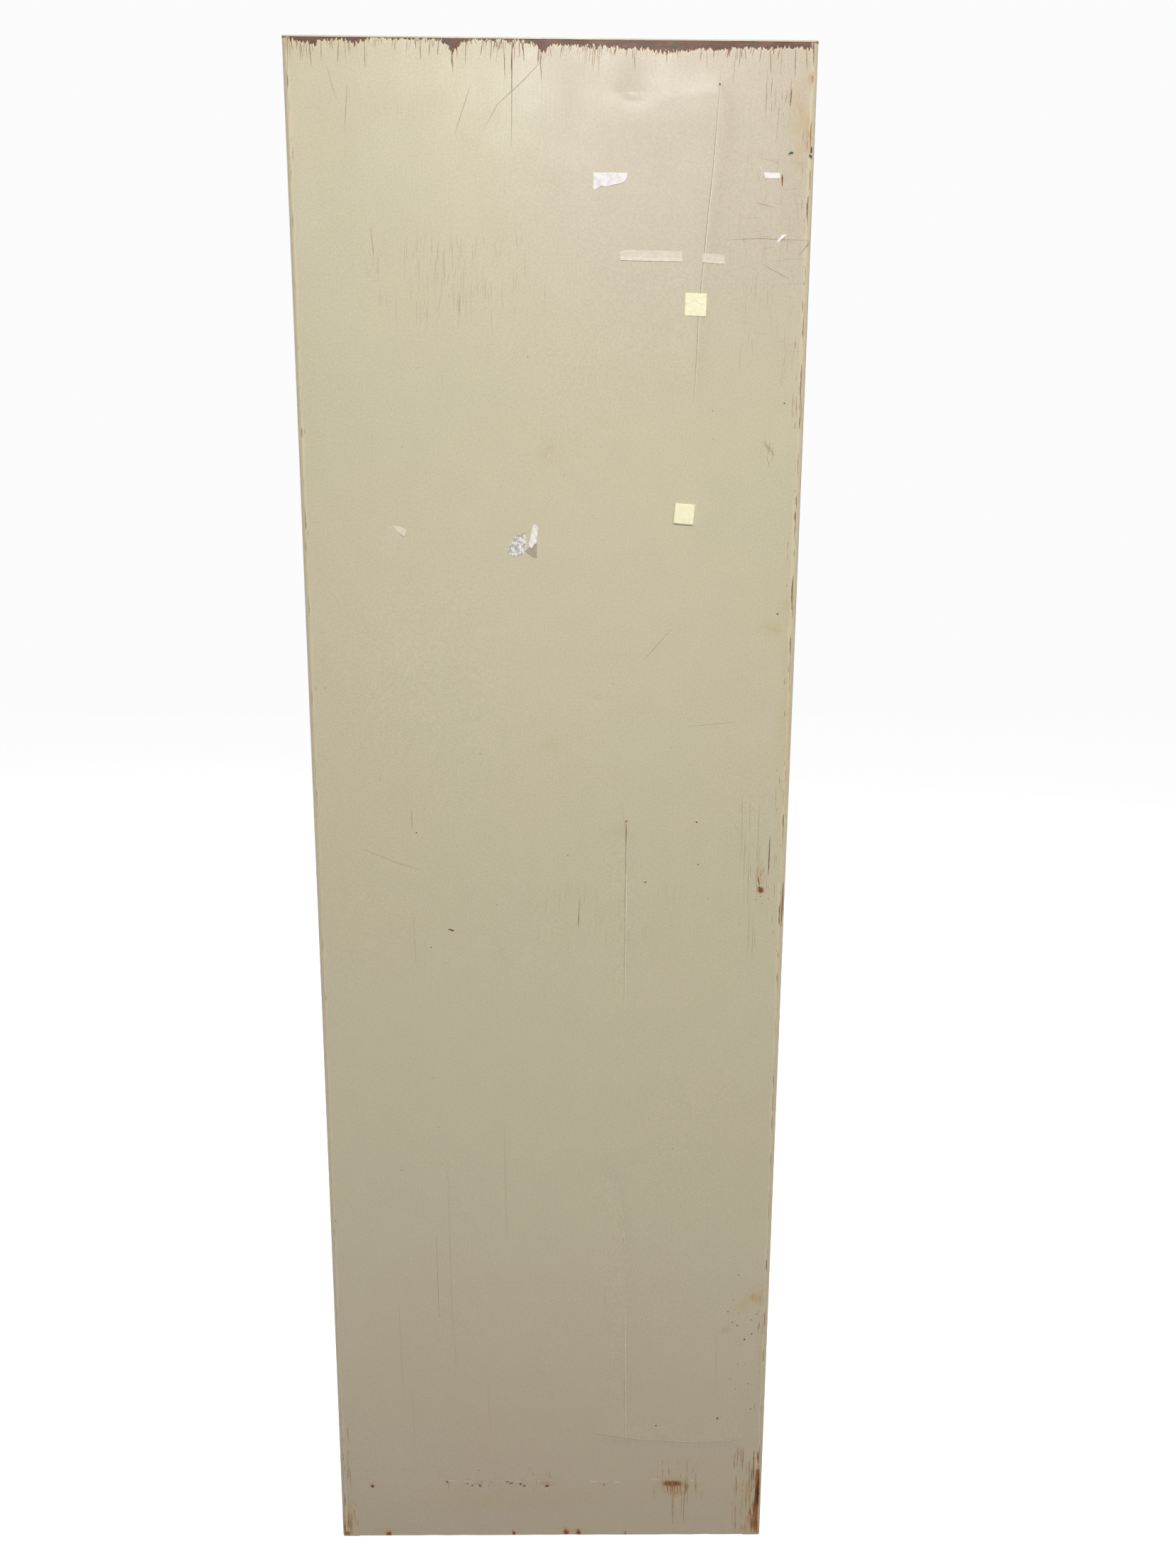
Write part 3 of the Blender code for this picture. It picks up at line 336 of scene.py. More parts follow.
def paint_colour(tree):
    """Old beige enamel, finely speckled, with light and shade painted in: pinker at the foot as painted
    warm light thrown up from the floor, pinker at the upper right as a painted warm tint of the light
    from above, and darker low down as painted shade.
    """
    where = node(tree, "SeparateXYZ", {0: place(tree)}).outputs
    # painted light: towards the floor the paint turns pinker, standing in for warm light thrown up from
    # the floor; cloudy adds random tone
    low_down = between(tree, where["Z"], 0.75, 0.05, 0.0, 0.9)
    near_top = between(tree, where["Z"], 1.55, 1.8)
    # painted light: the pinker upper right stands in for the warm tint of the light from above
    upper_right = times(tree, near_top, between(tree, where["X"], 0.1, -0.1))
    cloudy = between(tree, noise(tree, 2.6, detail=1.0), 0.35, 0.65, 0.0, 0.25)
    colour = mix(tree, math_node(tree, "ADD", low_down, cloudy), BEIGE_GREEN, BEIGE_PINK)
    colour = mix(tree, times(tree, upper_right, 0.75), colour, BEIGE_ROSE)
    # painted shade: the paint is darkened towards the floor
    grime_and_painted_shade = between(tree, where["Z"], 0.45, 0.0, 1.0, 0.92)
    blotches = between(tree, noise(tree, 30, detail=4.0), 0.3, 0.7, 0.985, 1.01)
    painted_shade_and_blotches = times(tree, grime_and_painted_shade, blotches)
    speckle = between(tree, noise(tree, 420, detail=1.0), 0.25, 0.75, 0.92, 1.065)
    shade = times(tree, painted_shade_and_blotches, speckle)
    return darker(tree, colour, shade)


def back_sheet_paint():
    """The back's paint, with the wear that the sheet's point attributes place."""
    made, tree, shader = shader_tree("back_sheet_paint", BEIGE, 0.42, Coat_Weight=0.08,
                                     Coat_Roughness=0.25)
    colour = paint_colour(tree)

    streaks = noise(tree, 1.0, (900, 1, 26), detail=2.0)
    fine = noise(tree, 1.0, (420, 1, 120), detail=4.0)

    stain = times(tree, attribute(tree, "stain"), between(tree, noise(tree, 90), 0.35, 0.6))
    colour = mix(tree, stain, colour, (0.46, 0.345, 0.135))

    scuff = times(tree, attribute(tree, "scuff"), between(tree, streaks, 0.56, 0.7, 0, 0.5))
    colour = mix(tree, scuff, colour, (0.34, 0.285, 0.2))

    top = attribute(tree, "top")  # metres below the primer's ragged lower edge
    lower = math_node(tree, "ADD", top, between(tree, fine, 0.33, 0.67, -3.2 * MM, 3.2 * MM))
    below_it = between(tree, lower, 30 * MM, 0.0, 0, 0.6)
    drips = times(tree, between(tree, streaks, 0.6, 0.68), below_it)
    colour = mix(tree, drips, colour, (0.3, 0.155, 0.075))
    rim = between(tree, lower, 2.6 * MM, 0.5 * MM, 0, 0.8)
    colour = mix(tree, rim, colour, (0.7, 0.6, 0.36))
    primer = between(tree, lower, 0.5 * MM, -0.3 * MM)
    patchy = mix(tree, between(tree, noise(tree, 60), 0.35, 0.65), PRIMER, (0.21, 0.1, 0.07))
    grimy = between(tree, noise(tree, 1.0, (45, 1, 420), detail=5.0), 0.42, 0.6, 0, 0.75)
    patchy = mix(tree, grimy, patchy, (0.085, 0.062, 0.048))
    dark_rim = between(tree, lower, -2.6 * MM, -0.6 * MM, 0, 0.7)
    patchy = mix(tree, dark_rim, patchy, (0.075, 0.03, 0.018))
    colour = mix(tree, primer, colour, patchy)

    edge = attribute(tree, "edge")  # metres in from the sheet's worn side edges
    flaking = between(tree, noise(tree, 1.0, (160, 1, 26), detail=5.0), 0.36, 0.66, 1.6 * MM, -2.0 * MM)
    inside = math_node(tree, "ADD", edge, flaking)
    colour = mix(tree, between(tree, inside, 4.0 * MM, 2.0 * MM, 0, 0.5), colour, (0.66, 0.56, 0.37))
    bare = between(tree, inside, 0.5 * MM, -0.2 * MM)
    colour = mix(tree, bare, colour, mix(tree, streaks, RUST, STEEL_BARE))

    rust_field = attribute(tree, "rust")
    grain = noise(tree, 1.0, (420, 1, 90), detail=5.0, rough=0.7)
    rust_sum = math_node(tree, "ADD", rust_field, times(tree, grain, 0.9))
    bloom = between(tree, rust_sum, 0.62, 1.05, 0, 0.85)
    colour = mix(tree, bloom, colour, (0.43, 0.25, 0.1))
    core = between(tree, rust_sum, 0.88, 1.15)
    colour = mix(tree, core, colour, mix(tree, between(tree, grain, 0.35, 0.6), RUST_DARK, RUST))

    rough = between(tree, noise(tree, 22, detail=5.0), 0.3, 0.7, 0.36, 0.47)
    bare_all = math_node(tree, "MAXIMUM", math_node(tree, "MAXIMUM", primer, core), bare)
    rough = math_node(tree, "MULTIPLY_ADD", bare_all, 0.3, rough)
    drive(tree, shader, Base_Color=colour, Roughness=rough)
    peel = noise(tree, 330, detail=2.0)
    chips = math_node(tree, "SUBTRACT", 1.0, bare_all)
    ripple = noise(tree, 1.0, (30, 1, 9), detail=2.0)
    bump(tree, shader, ((peel, 0.16, 0.35 * MM), (ripple, 0.22, 1.2 * MM), (chips, 0.7, 0.12 * MM)))
    return made


def enamel(name, colours, roughness, chip=RUST, wear=0.62, coat=0.15, foot=0.0):
    """Brushed or sprayed enamel on steel: two shades in broad clouds, orange peel, dust and chips.
    foot is how grimy it gets towards the floor, where it then rusts too."""
    made, tree, shader = shader_tree(name, colours[0], roughness, Coat_Weight=coat, Coat_Roughness=0.2)
    broad = between(tree, noise(tree, 7, detail=3.0), 0.35, 0.65)
    colour = mix(tree, broad, colours[0], colours[1])
    speckle = between(tree, noise(tree, 380, detail=1.0), 0.25, 0.75, 0.94, 1.04)
    colour = darker(tree, colour, speckle)
    scratch = between(tree, noise(tree, 1.0, (330, 40, 14), detail=3.0), 0.68, 0.74, 0, 0.35)
    colour = mix(tree, scratch, colour, tuple(0.6 * part for part in colours[1]))
    chips = between(tree, noise(tree, 46, detail=8.0, rough=0.62), wear + 0.1, wear + 0.115)
    if foot:
        height = node(tree, "SeparateXYZ", {0: place(tree)}).outputs["Z"]
        low_down = between(tree, height, 0.3, 0.0, 0, foot)
        grime_and_painted_shade = times(tree, low_down, noise(tree, 9, detail=5.0))
        colour = mix(tree, grime_and_painted_shade, colour, (0.36, 0.285, 0.19))
        ragged = noise(tree, 1.0, (70, 70, 18), detail=6.0, rough=0.65)
        rusting = math_node(tree, "ADD", ragged, between(tree, height, 75 * MM, 0.0, 0, 0.34))
        colour = mix(tree, between(tree, rusting, 0.72, 0.8, 0, 0.8), colour, (0.4, 0.235, 0.1))
        chips = math_node(tree, "MAXIMUM", chips, between(tree, rusting, 0.86, 0.91))
    colour = mix(tree, chips, colour, mix(tree, noise(tree, 300), RUST_DARK, chip))
    rough = between(tree, noise(tree, 30, detail=4.0), 0.3, 0.7, roughness - 0.06, roughness + 0.1)
    drive(tree, shader, Base_Color=colour, Roughness=rough)
    flat = math_node(tree, "SUBTRACT", 1.0, chips)
    bump(tree, shader, ((noise(tree, 300, detail=2.0), 0.18, 0.4 * MM), (flat, 0.8, 0.12 * MM)))
    return made


def plated(name, colour, dull, roughness, grain=(1, 1, 1), stain=0.5):
    """Bare or plated metal, with a grain, dull patches and fine scratches."""
    made, tree, shader = shader_tree(name, colour, roughness, 1.0)
    patches = between(tree, noise(tree, 55, detail=6.0, rough=0.65), 0.42, 0.72, 0, stain)
    fine = noise(tree, 1.0, tuple(900 * g for g in grain), detail=2.0)
    shaded = mix(tree, patches, colour, dull)
    rough = math_node(tree, "MULTIPLY_ADD", patches, 0.35, roughness)
    drive(tree, shader, Base_Color=shaded, Roughness=rough)
    bump(tree, shader, ((fine, 0.12, 0.15 * MM), (noise(tree, 120, detail=4.0), 0.12, 0.3 * MM)))
    return made


def cast_brass():
    made, tree, shader = shader_tree("cast_brass", (0.6, 0.39, 0.14), 0.36, 1.0)
    patina = between(tree, noise(tree, 34, detail=7.0, rough=0.66), 0.4, 0.68)
    colour = mix(tree, patina, (0.64, 0.43, 0.17), (0.27, 0.16, 0.07))
    drive(tree, shader, Base_Color=colour, Roughness=between(tree, patina, 0, 1, 0.3, 0.55))
    sand = noise(tree, 420, detail=3.0)
    bump(tree, shader, ((sand, 0.3, 0.35 * MM), (noise(tree, 70, detail=2.0), 0.15, 1 * MM)))
    return made


def black_rubber():
    made, tree, shader = shader_tree("black_rubber", (0.022, 0.022, 0.022), 0.62)
    bloom = between(tree, noise(tree, 60, detail=5.0), 0.45, 0.75)
    colour = mix(tree, bloom, (0.018, 0.018, 0.018), (0.06, 0.058, 0.052))
    drive(tree, shader, Base_Color=colour, Roughness=between(tree, bloom, 0, 1, 0.52, 0.78))
    bump(tree, shader, ((noise(tree, 900, detail=2.0), 0.2, 0.1 * MM),))
    return made


def window_pane():
    """Thin clear pane with a little dust: mostly see-through, glossy where it isn't."""
    made, tree, shader = shader_tree("window_pane", (0.62, 0.67, 0.65), 0.05, IOR=1.5, Coat_Weight=1.0)
    dust = between(tree, noise(tree, 26, detail=6.0, rough=0.6), 0.35, 0.8)
    colour = mix(tree, dust, (0.5, 0.58, 0.55), (0.62, 0.64, 0.61))
    drive(tree, shader, Base_Color=colour, Alpha=between(tree, dust, 0, 1, 0.1, 0.16),
          Roughness=between(tree, dust, 0, 1, 0.03, 0.12))
    return made


def foam_rubber():
    made, tree, shader = shader_tree("foam_rubber", (0.86, 0.82, 0.6), 0.9)
    cells = node(tree, "TexVoronoi", {"Vector": place(tree), "Scale": 1500.0}).outputs["Distance"]
    blotch = between(tree, noise(tree, 150, detail=4.0), 0.35, 0.7)
    colour = mix(tree, blotch, (0.93, 0.9, 0.68), (0.86, 0.81, 0.56))
    drive(tree, shader, Base_Color=colour)
    bump(tree, shader, ((cells, 0.45, 0.25 * MM), (noise(tree, 260, detail=3.0), 0.3, 0.5 * MM)))
    return made


def paper(name, light, dark):
    made, tree, shader = shader_tree(name, light, 0.82)
    blotch = between(tree, noise(tree, 260, detail=5.0), 0.46, 0.72, 0, 0.7)
    drive(tree, shader, Base_Color=mix(tree, blotch, light, dark))
    bump(tree, shader, ((noise(tree, 900, detail=4.0), 0.4, 0.15 * MM),))
    return made


def clear_tape(name, colour, alpha, roughness, wrinkle=0.4 * MM):
    """Old adhesive tape, milky and wrinkled, through which the paint shows."""
    made, tree, shader = shader_tree(name, colour, roughness, Alpha=alpha)
    milky = between(tree, noise(tree, 1.0, (160, 1, 420), detail=4.0), 0.35, 0.7)
    paler = tuple(min(1.0, 1.18 * part) for part in colour)
    drive(tree, shader, Base_Color=mix(tree, milky, colour, paler))
    bump(tree, shader, ((noise(tree, 240, detail=4.0), 0.55, wrinkle),))
    return made


# ---------------------------------------------------------------- meshes

def piece(name, vertices, faces, finish, body="cabinet", slot="beige_paint", smooth_angle=40):
    """A new piece in place, riding on its body."""
    mesh = bpy.data.meshes.new(name)
    mesh.from_pydata([tuple(v) for v in vertices], [], [tuple(f) for f in faces])
    form = bmesh.new()
    form.from_mesh(mesh)
    bmesh.ops.recalc_face_normals(form, faces=form.faces)
    form.to_mesh(mesh)
    form.free()
    mesh.shade_smooth()
    mesh.set_sharp_from_angle(angle=math.radians(smooth_angle))
    mesh.materials.append(finish)
    made = bpy.data.objects.new(name, mesh)
    bpy.context.scene.collection.objects.link(made)
    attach(made, body)
    return made


def slab(rows, columns):
    """The faces of a closed slab: a grid of vertices on top, then the same grid below."""
    top = np.arange(rows * columns).reshape(rows, columns)
    below = top + rows * columns
    faces = []
    for grid, turn in ((top, 1), (below, -1)):
        corners = np.stack([grid[:-1, :-1], grid[:-1, 1:], grid[1:, 1:], grid[1:, :-1]], -1)
        faces += corners.reshape(-1, 4)[:, ::turn].tolist()
    rim = np.concatenate([top[0, :-1], top[:-1, -1], top[-1, :0:-1], top[:0:-1, 0]])
    for a, b in zip(rim, np.roll(rim, -1)):
        faces.append((int(a), int(a) + rows * columns, int(b) + rows * columns, int(b)))
    return faces


def line_at(line, shares):
    """Points (u, v) at shares of the way along a line."""
    points = np.array(line, float)
    steps = np.hypot(*(np.diff(points, axis=0) * (WIDTH, HEIGHT)).T)
    along = np.concatenate([[0], np.cumsum(steps)]) / steps.sum()
    return np.stack([np.interp(shares, along, points[:, i]) for i in (0, 1)], -1)


def patch(name, upper, lower, finish, thickness, lift=None, rows=10, columns=24):
    """Something thin stuck to the sheet between an upper and a lower line in (u, v). Its thickness
    and lift(s, t), how far it stands off the sheet, are in mm. s runs across it and t down it."""
    s = np.linspace(0, 1, columns)
    t = np.linspace(0, 1, rows)[:, None, None]
    grid = line_at(upper, s)[None] * (1 - t) + line_at(lower, s)[None] * t
    x = across(grid[..., 0])
    z = up(grid[..., 1])
    off = np.zeros(x.shape) + STUCK
    if lift:
        ss, tt = np.meshgrid(s, t.ravel())
        off = off + lift(ss, tt) * MM
    y = Y_SHEET + relief(x, z) + off
    top = np.stack([x, y + thickness * MM, z], -1).reshape(-1, 3)
    below = np.stack([x, y, z], -1).reshape(-1, 3)
    return piece(name, np.concatenate([top, below]), slab(rows, columns), finish, smooth_angle=70)


def on_sheet(x, z, off):
    """Points that stand off the sheet by off, at (x, z)."""
    return np.stack([x, Y_SHEET + relief(x, z) + off, z], -1).reshape(-1, 3)


def ribbon_mesh(marks, proud):
    """Vertices and faces of thin closed ribbons lying on the sheet, proud of it by so many mm. A
    mark is a line in (u, v) and its width in mm, which tapers to its ends."""
    parts, faces = [], []
    start = 0
    for line, width in marks:
        length = sum(math.dist(*[(across(u), up(v)) for u, v in pair]) for pair in zip(line, line[1:]))
        count = max(4, int(length / MARK_STEP))
        shares = np.linspace(0, 1, count)
        points = line_at(line, shares)
        centre = np.stack([across(points[:, 0]), up(points[:, 1])], -1)
        way = np.gradient(centre, axis=0)
        way /= np.linalg.norm(way, axis=1)[:, None]
        taper = np.sin(math.pi * np.clip(shares, 0.02, 0.98)) ** 0.6 + 0.15
        half = width * MM / 2 * taper * (1 + rng.normal(0, 0.1, count))
        sideways = np.stack([-way[:, 1], way[:, 0]], -1) * half[:, None]
        one, other = centre - sideways, centre + sideways
        corners = np.stack([one, other, other, one], 1)
        heights = np.array((proud * MM, proud * MM, DECAL_LOW, DECAL_LOW))
        off = np.broadcast_to(heights, corners.shape[:2])
        parts.append(on_sheet(corners[..., 0], corners[..., 1], off))
        for a in range(start, start + 4 * (count - 1), 4):
            faces += [(a + k, a + (k + 1) % 4, a + 4 + (k + 1) % 4, a + 4 + k) for k in range(4)]
        end = start + 4 * (count - 1)
        faces += [(start, start + 1, start + 2, start + 3), (end + 3, end + 2, end + 1, end)]
        start = end + 4
    return np.concatenate(parts), faces


def spot_mesh(spots, proud):
    """Vertices and faces of small flat closed blobs, proud of the sheet by so many mm. A spot is its
    place (u, v) and its radii across and up in mm."""
    parts, faces = [], []
    sides = 14
    turns = np.linspace(0, 2 * math.pi, sides, endpoint=False)
    for number, (u, v, radius_across, radius_up) in enumerate(spots):
        ragged = 1 + rng.normal(0, 0.16, sides)
        x = np.tile(across(u) + radius_across * MM * ragged * np.cos(turns), (2, 1))
        z = np.tile(up(v) + radius_up * MM * ragged * np.sin(turns), (2, 1))
        parts.append(on_sheet(x, z, np.array(((proud * MM,), (DECAL_LOW,)))))
        start = 2 * sides * number
        faces.append(tuple(range(start, start + sides)))
        faces.append(tuple(range(start + 2 * sides - 1, start + sides - 1, -1)))
        for i in range(sides):
            j = (i + 1) % sides
            faces.append((start + i, start + sides + i, start + sides + j, start + j))
    return np.concatenate(parts), faces


def mark(name, mesh, light, dark, roughness=0.75):
    """A mark on the sheet, made of rust, dirt, or bared or scraped paint, or of painted shade or a
    painted highlight.
    """
    finish, tree, shader = shader_tree(name, light, roughness)
    grain = between(tree, noise(tree, 700, detail=3.0), 0.35, 0.65)
    drive(tree, shader, Base_Color=mix(tree, grain, light, dark))
    bump(tree, shader, ((grain, 0.4, 0.1 * MM),))
    piece(name, *mesh, finish)


# ---------------------------------------------------------------- the back sheet

# Depth of the bared primer below the top edge in mm, and where across the sheet it is that deep
PRIMER_U = (0.0, 0.03, 0.044, 0.052, 0.06, 0.07, 0.12, 0.136, 0.15, 0.165, 0.29, 0.302, 0.317, 0.334,
            0.35, 0.44, 0.468, 0.486, 0.503, 0.53, 0.6, 0.64, 0.68, 0.712, 0.735, 0.77, 0.81, 0.85,
            0.9, 0.94, 0.97, 0.99, 1.0)
PRIMER_MM = (3, 3, 8, 3.5, 9, 3, 2, 8, 3, 0.5, 0.5, 4, 16, 4,
             1.5, 2, 4, 13.5, 5, 6, 7, 8, 9, 12, 11, 8.5, 9.5, 7,
             7.5, 6, 6.5, 7.5, 7.5)

# Soft patches of rust, stain and scuffing: place (u, v), radii across and up in mm, strength
RUST_PATCHES = (
    (0.788, 0.044, 16, 5, 1.05), (0.773, 0.0445, 8, 4, 0.9),
    (0.82, 0.0425, 9, 4, 0.6), (0.8, 0.036, 16, 9, 0.35),
    (0.488, 0.0445, 13, 3.5, 0.62), (0.409, 0.0455, 14, 2.5, 0.4),
    (0.316, 0.0455, 18, 4, 0.32), (0.624, 0.0455, 14, 3.5, 0.3),
    (0.256, 0.0455, 4, 6, 0.42), (0.075, 0.0435, 5, 6, 0.55),
    (0.33, 0.043, 3, 3, 0.9),
    (0.997, 0.026, 7, 44, 0.82), (0.988, 0.012, 11, 26, 0.72),
    (0.96, 0.006, 10, 12, 0.45), (0.972, 0.038, 5, 22, 0.5),
    (0.018, 0.012, 5, 24, 0.6), (0.012, 0.003, 9, 6, 0.7),
    (0.111, 0.002, 5, 6, 1.0), (0.41, 0.003, 3, 6, 0.8),
    (0.535, 0.003, 4, 8, 1.0), (0.564, 0.003, 4, 7, 1.0),
    (0.676, 0.002, 3, 5, 0.8),
    (0.947, 0.495, 5, 5, 1.0), (0.944, 0.505, 8, 22, 0.42),
    (0.985, 0.95, 6, 30, 0.45), (0.972, 0.965, 12, 16, 0.3),
    (0.989, 0.98, 4, 9, 0.7),
    (0.972, 0.195, 16, 9, 0.38), (0.9, 0.17, 12, 9, 0.3),
)
STAINS = (
    (0.495, 0.772, 9, 12, 0.45), (0.951, 0.665, 12, 9, 0.6),
    (0.98, 0.68, 8, 7, 0.5), (0.972, 0.197, 14, 12, 0.8),
    (0.94, 0.19, 10, 12, 0.35), (0.985, 0.15, 7, 40, 0.4),
    (0.018, 0.02, 8, 26, 0.7), (0.1, 0.006, 16, 9, 0.5),
    (0.965, 0.03, 18, 40, 0.55), (0.55, 0.004, 26, 10, 0.55),
    (0.79, 0.04, 34, 16, 0.55), (0.41, 0.03, 130, 14, 0.22),
    (0.972, 0.955, 16, 60, 0.45), (0.985, 0.6, 7, 200, 0.3),
    (0.5, 0.59, 10, 10, 0.25),
)
SCUFFS = (
    (0.955, 0.945, 22, 60, 0.8), (0.9, 0.88, 60, 70, 0.55),
    (0.31, 0.87, 90, 60, 0.38), (0.62, 0.865, 70, 40, 0.25),
    (0.93, 0.773, 12, 10, 0.7), (0.93, 0.51, 26, 80, 0.85),
    (0.62, 0.48, 90, 40, 0.5), (0.972, 0.7, 10, 90, 0.5),
    (0.2, 0.965, 90, 26, 0.5), (0.5, 0.965, 130, 26, 0.55),
    (0.85, 0.96, 60, 30, 0.5), (0.95, 0.1, 20, 120, 0.5),
    (0.25, 0.2, 40, 120, 0.2), (0.09, 0.87, 40, 40, 0.25),
)


def patches_at(patches, x, z):
    """The strongest of some soft patches at each point."""
    best = np.zeros(np.shape(x))
    for u, v, radius_across, radius_up, strength in patches:
        off_across = (x - across(u)) / (radius_across * MM)
        off_up = (z - up(v)) / (radius_up * MM)
        reach = off_across ** 2 + off_up ** 2
        best = np.maximum(best, strength * np.exp(-reach))
    return best


def back_sheet():
    """The creased back sheet, with its wear stored at its points."""
    columns = round((SHEET_HIGH.x - SHEET_LOW.x) / GRID) + 1
    rows = round((SHEET_HIGH.z - SHEET_LOW.z) / GRID) + 1
    flat_x, flat_z = np.meshgrid(np.linspace(SHEET_HIGH.x, SHEET_LOW.x, columns),
                                 np.linspace(SHEET_HIGH.z, SHEET_LOW.z, rows))
    share_x = (flat_x - SHEET_LOW.x) / (SHEET_HIGH.x - SHEET_LOW.x) * 2 - 1
    v = flat_z / HEIGHT
    bow = EDGE_BOW * np.sin(math.pi * v) ** 2 + EDGE_WAVE * np.sin(23 * v) * np.sin(7 * v + 1)
    kink = KINK * np.exp(-(((v - KINK_AT) * HEIGHT) / KINK_HALF) ** 2) * (share_x > 0)
    x = flat_x - np.sign(share_x) * np.abs(share_x) ** 6 * (np.abs(bow) + kink)
    share_z = (flat_z - SHEET_LOW.z) / (SHEET_HIGH.z - SHEET_LOW.z) * 2 - 1
    sag = END_WAVE * (np.sin(19 * share_x) * np.sin(5 * share_x + 2)) ** 2
    z = flat_z - np.sign(share_z) * np.abs(share_z) ** 30 * sag
    y = Y_SHEET + relief(x, z)
    top = np.stack([x, y, z], -1).reshape(-1, 3)
    below = top - np.array((0, SHEET, 0))
    made = piece("back_sheet", np.concatenate([top, below]), slab(rows, columns), back_sheet_paint())
    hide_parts("back_panel")

    u = (LEFT - x) / WIDTH
    primer = np.interp(u, PRIMER_U, PRIMER_MM) * MM
    fields = {
        "top": SHEET_HIGH.z - z - primer,
        "edge": np.minimum(flat_x - SHEET_LOW.x, SHEET_HIGH.x - flat_x + LEFT_SPARED),
        "rust": patches_at(RUST_PATCHES, x, z),
        "stain": patches_at(STAINS, x, z),
        "scuff": patches_at(SCUFFS, x, z),
    }
    for name, values in fields.items():
        layer = made.data.attributes.new(name, "FLOAT", "POINT")
        layer.data.foreach_set("value", np.tile(values.ravel(), 2).astype(np.float32))
    return made


# Scratches one by one: a line in (u, v) and its width in mm
PALE_SCRATCHES = (
    (((0.428, 0.999), (0.4265, 0.96), (0.426, 0.942)), 0.7),
    (((0.497, 0.992), (0.445, 0.9765), (0.4, 0.965), (0.371, 0.95)), 0.6),
    (((0.834, 0.893), (0.9, 0.8938), (0.998, 0.893)), 0.8),
    (((0.997, 0.8925), (0.978, 0.885)), 1.0),
    (((0.905, 0.88), (0.96, 0.8715)), 0.7),
    (((0.89, 0.9135), (0.925, 0.911)), 0.7),
    (((0.156, 0.899), (0.16, 0.882)), 0.8),
    (((0.69, 0.645), (0.745, 0.665)), 0.6),
    (((0.239, 0.246), (0.242, 0.18)), 0.6),
    (((0.207, 0.548), (0.207, 0.535)), 0.8),
    (((0.1, 0.522), (0.18, 0.512), (0.222, 0.508)), 0.6),
    (((0.785, 0.603), (0.88, 0.606)), 0.5),
    (((0.56, 0.49), (0.558, 0.468)), 0.9),
    (((0.35, 0.975), (0.318, 0.948)), 0.6),
    (((0.12, 0.975), (0.112, 0.95)), 0.6),
    (((0.082, 0.985), (0.098, 0.967)), 0.5),
    (((0.905, 0.985), (0.904, 0.955)), 0.5),
    (((0.93, 0.965), (0.925, 0.945)), 0.5),
    (((0.918, 0.779), (0.93, 0.7735)), 0.7),
    (((0.922, 0.7795), (0.936, 0.7715)), 0.9),
    (((0.93, 0.7765), (0.944, 0.77)), 1.0),
    (((0.934, 0.779), (0.93, 0.77)), 0.7),
    (((0.928, 0.77), (0.9355, 0.763)), 0.8),
    (((0.94, 0.775), (0.9385, 0.766)), 0.7),
    (((0.6585, 0.535), (0.6585, 0.505)), 0.6),
)
BROWN_SCRATCHES_AND_DENT_SHADE = (
    (((0.428, 0.999), (0.427, 0.972)), 0.8),
    (((0.6575, 0.541), (0.6585, 0.535), (0.6585, 0.526)), 0.7),
    (((0.559, 0.478), (0.5585, 0.47)), 0.8),
    (((0.279, 0.4675), (0.292, 0.4668)), 1.6),
    (((0.995, 0.5), (0.9935, 0.47)), 1.1),
    (((0.94, 0.9225), (0.9395, 0.929)), 1.6),
    (((0.952, 0.975), (0.9505, 0.966)), 0.8),
    (((0.94, 0.504), (0.944, 0.498)), 1.2),
    (((0.9625, 0.532), (0.962, 0.505)), 1.0),
    # painted shade: the dark line along the sharp dent's crease
    (((0.64, 0.9709), (0.658, 0.9712)), 0.7),
)

# Long faint streaks: where each starts, and its length as a share of the height
LONG_STREAKS = (
    (0.268, 0.3, 0.14), (0.275, 0.18, 0.04), (0.395, 0.33, 0.09), (0.352, 0.128, 0.04),
    (0.15, 0.195, 0.08), (0.175, 0.125, 0.05), (0.62, 0.203, 0.015), (0.205, 0.48, 0.04),
    (0.88, 0.17, 0.05),
)
FINE = 0.35  # width of the finest scratches, in mm


def hatching():
    """Short fine scratches where the sheet has been rubbed: left of the middle high up, down the
    upper right, and across the middle."""
    marks = []
    for _ in range(90):
        u, v = rng.normal(0.32, 0.075), rng.uniform(0.853, 0.899)
        tilt = rng.uniform(-0.005, 0.003)
        marks.append((((u, v), (u + tilt, v - rng.uniform(0.004, 0.018))), FINE))
    for _ in range(80):
        u, v = rng.uniform(0.86, 0.985), rng.uniform(0.82, 0.945)
        if rng.random() < 0.45:
            end = (u + rng.uniform(0.01, 0.05), v + rng.uniform(-0.002, 0.002))
        else:
            end = (u + rng.uniform(-0.008, 0.008), v - rng.uniform(0.005, 0.02))
        marks.append((((u, v), (min(end[0], 0.99), end[1])), FINE))
    for _ in range(34):
        u, v = rng.uniform(0.47, 0.78), rng.uniform(0.462, 0.5)
        end = (u + rng.uniform(-0.003, 0.001), v - rng.uniform(0.004, 0.016))
        marks.append((((u, v), end), FINE))
    return marks


def scratches():
    """Rubbed and scratched paint, as pale brown lines."""
    hatch = hatching()
    pale = list(PALE_SCRATCHES)
    for _ in range(16):
        u, v = rng.uniform(0.9, 0.975), rng.uniform(0.455, 0.57)
        pale.append((((u, v), (u, v - rng.uniform(0.01, 0.04))), 0.45))
    hatch += [(((u, v), (u + 0.004, v - length)), 0.4) for u, v, length in LONG_STREAKS]
    mark("hatched_scuffs", ribbon_mesh(hatch, 0.04), (0.43, 0.35, 0.25), (0.37, 0.285, 0.19), 0.6)
    mark("pale_scratches", ribbon_mesh(pale, 0.05), (0.37, 0.31, 0.21), (0.3, 0.235, 0.15), 0.6)


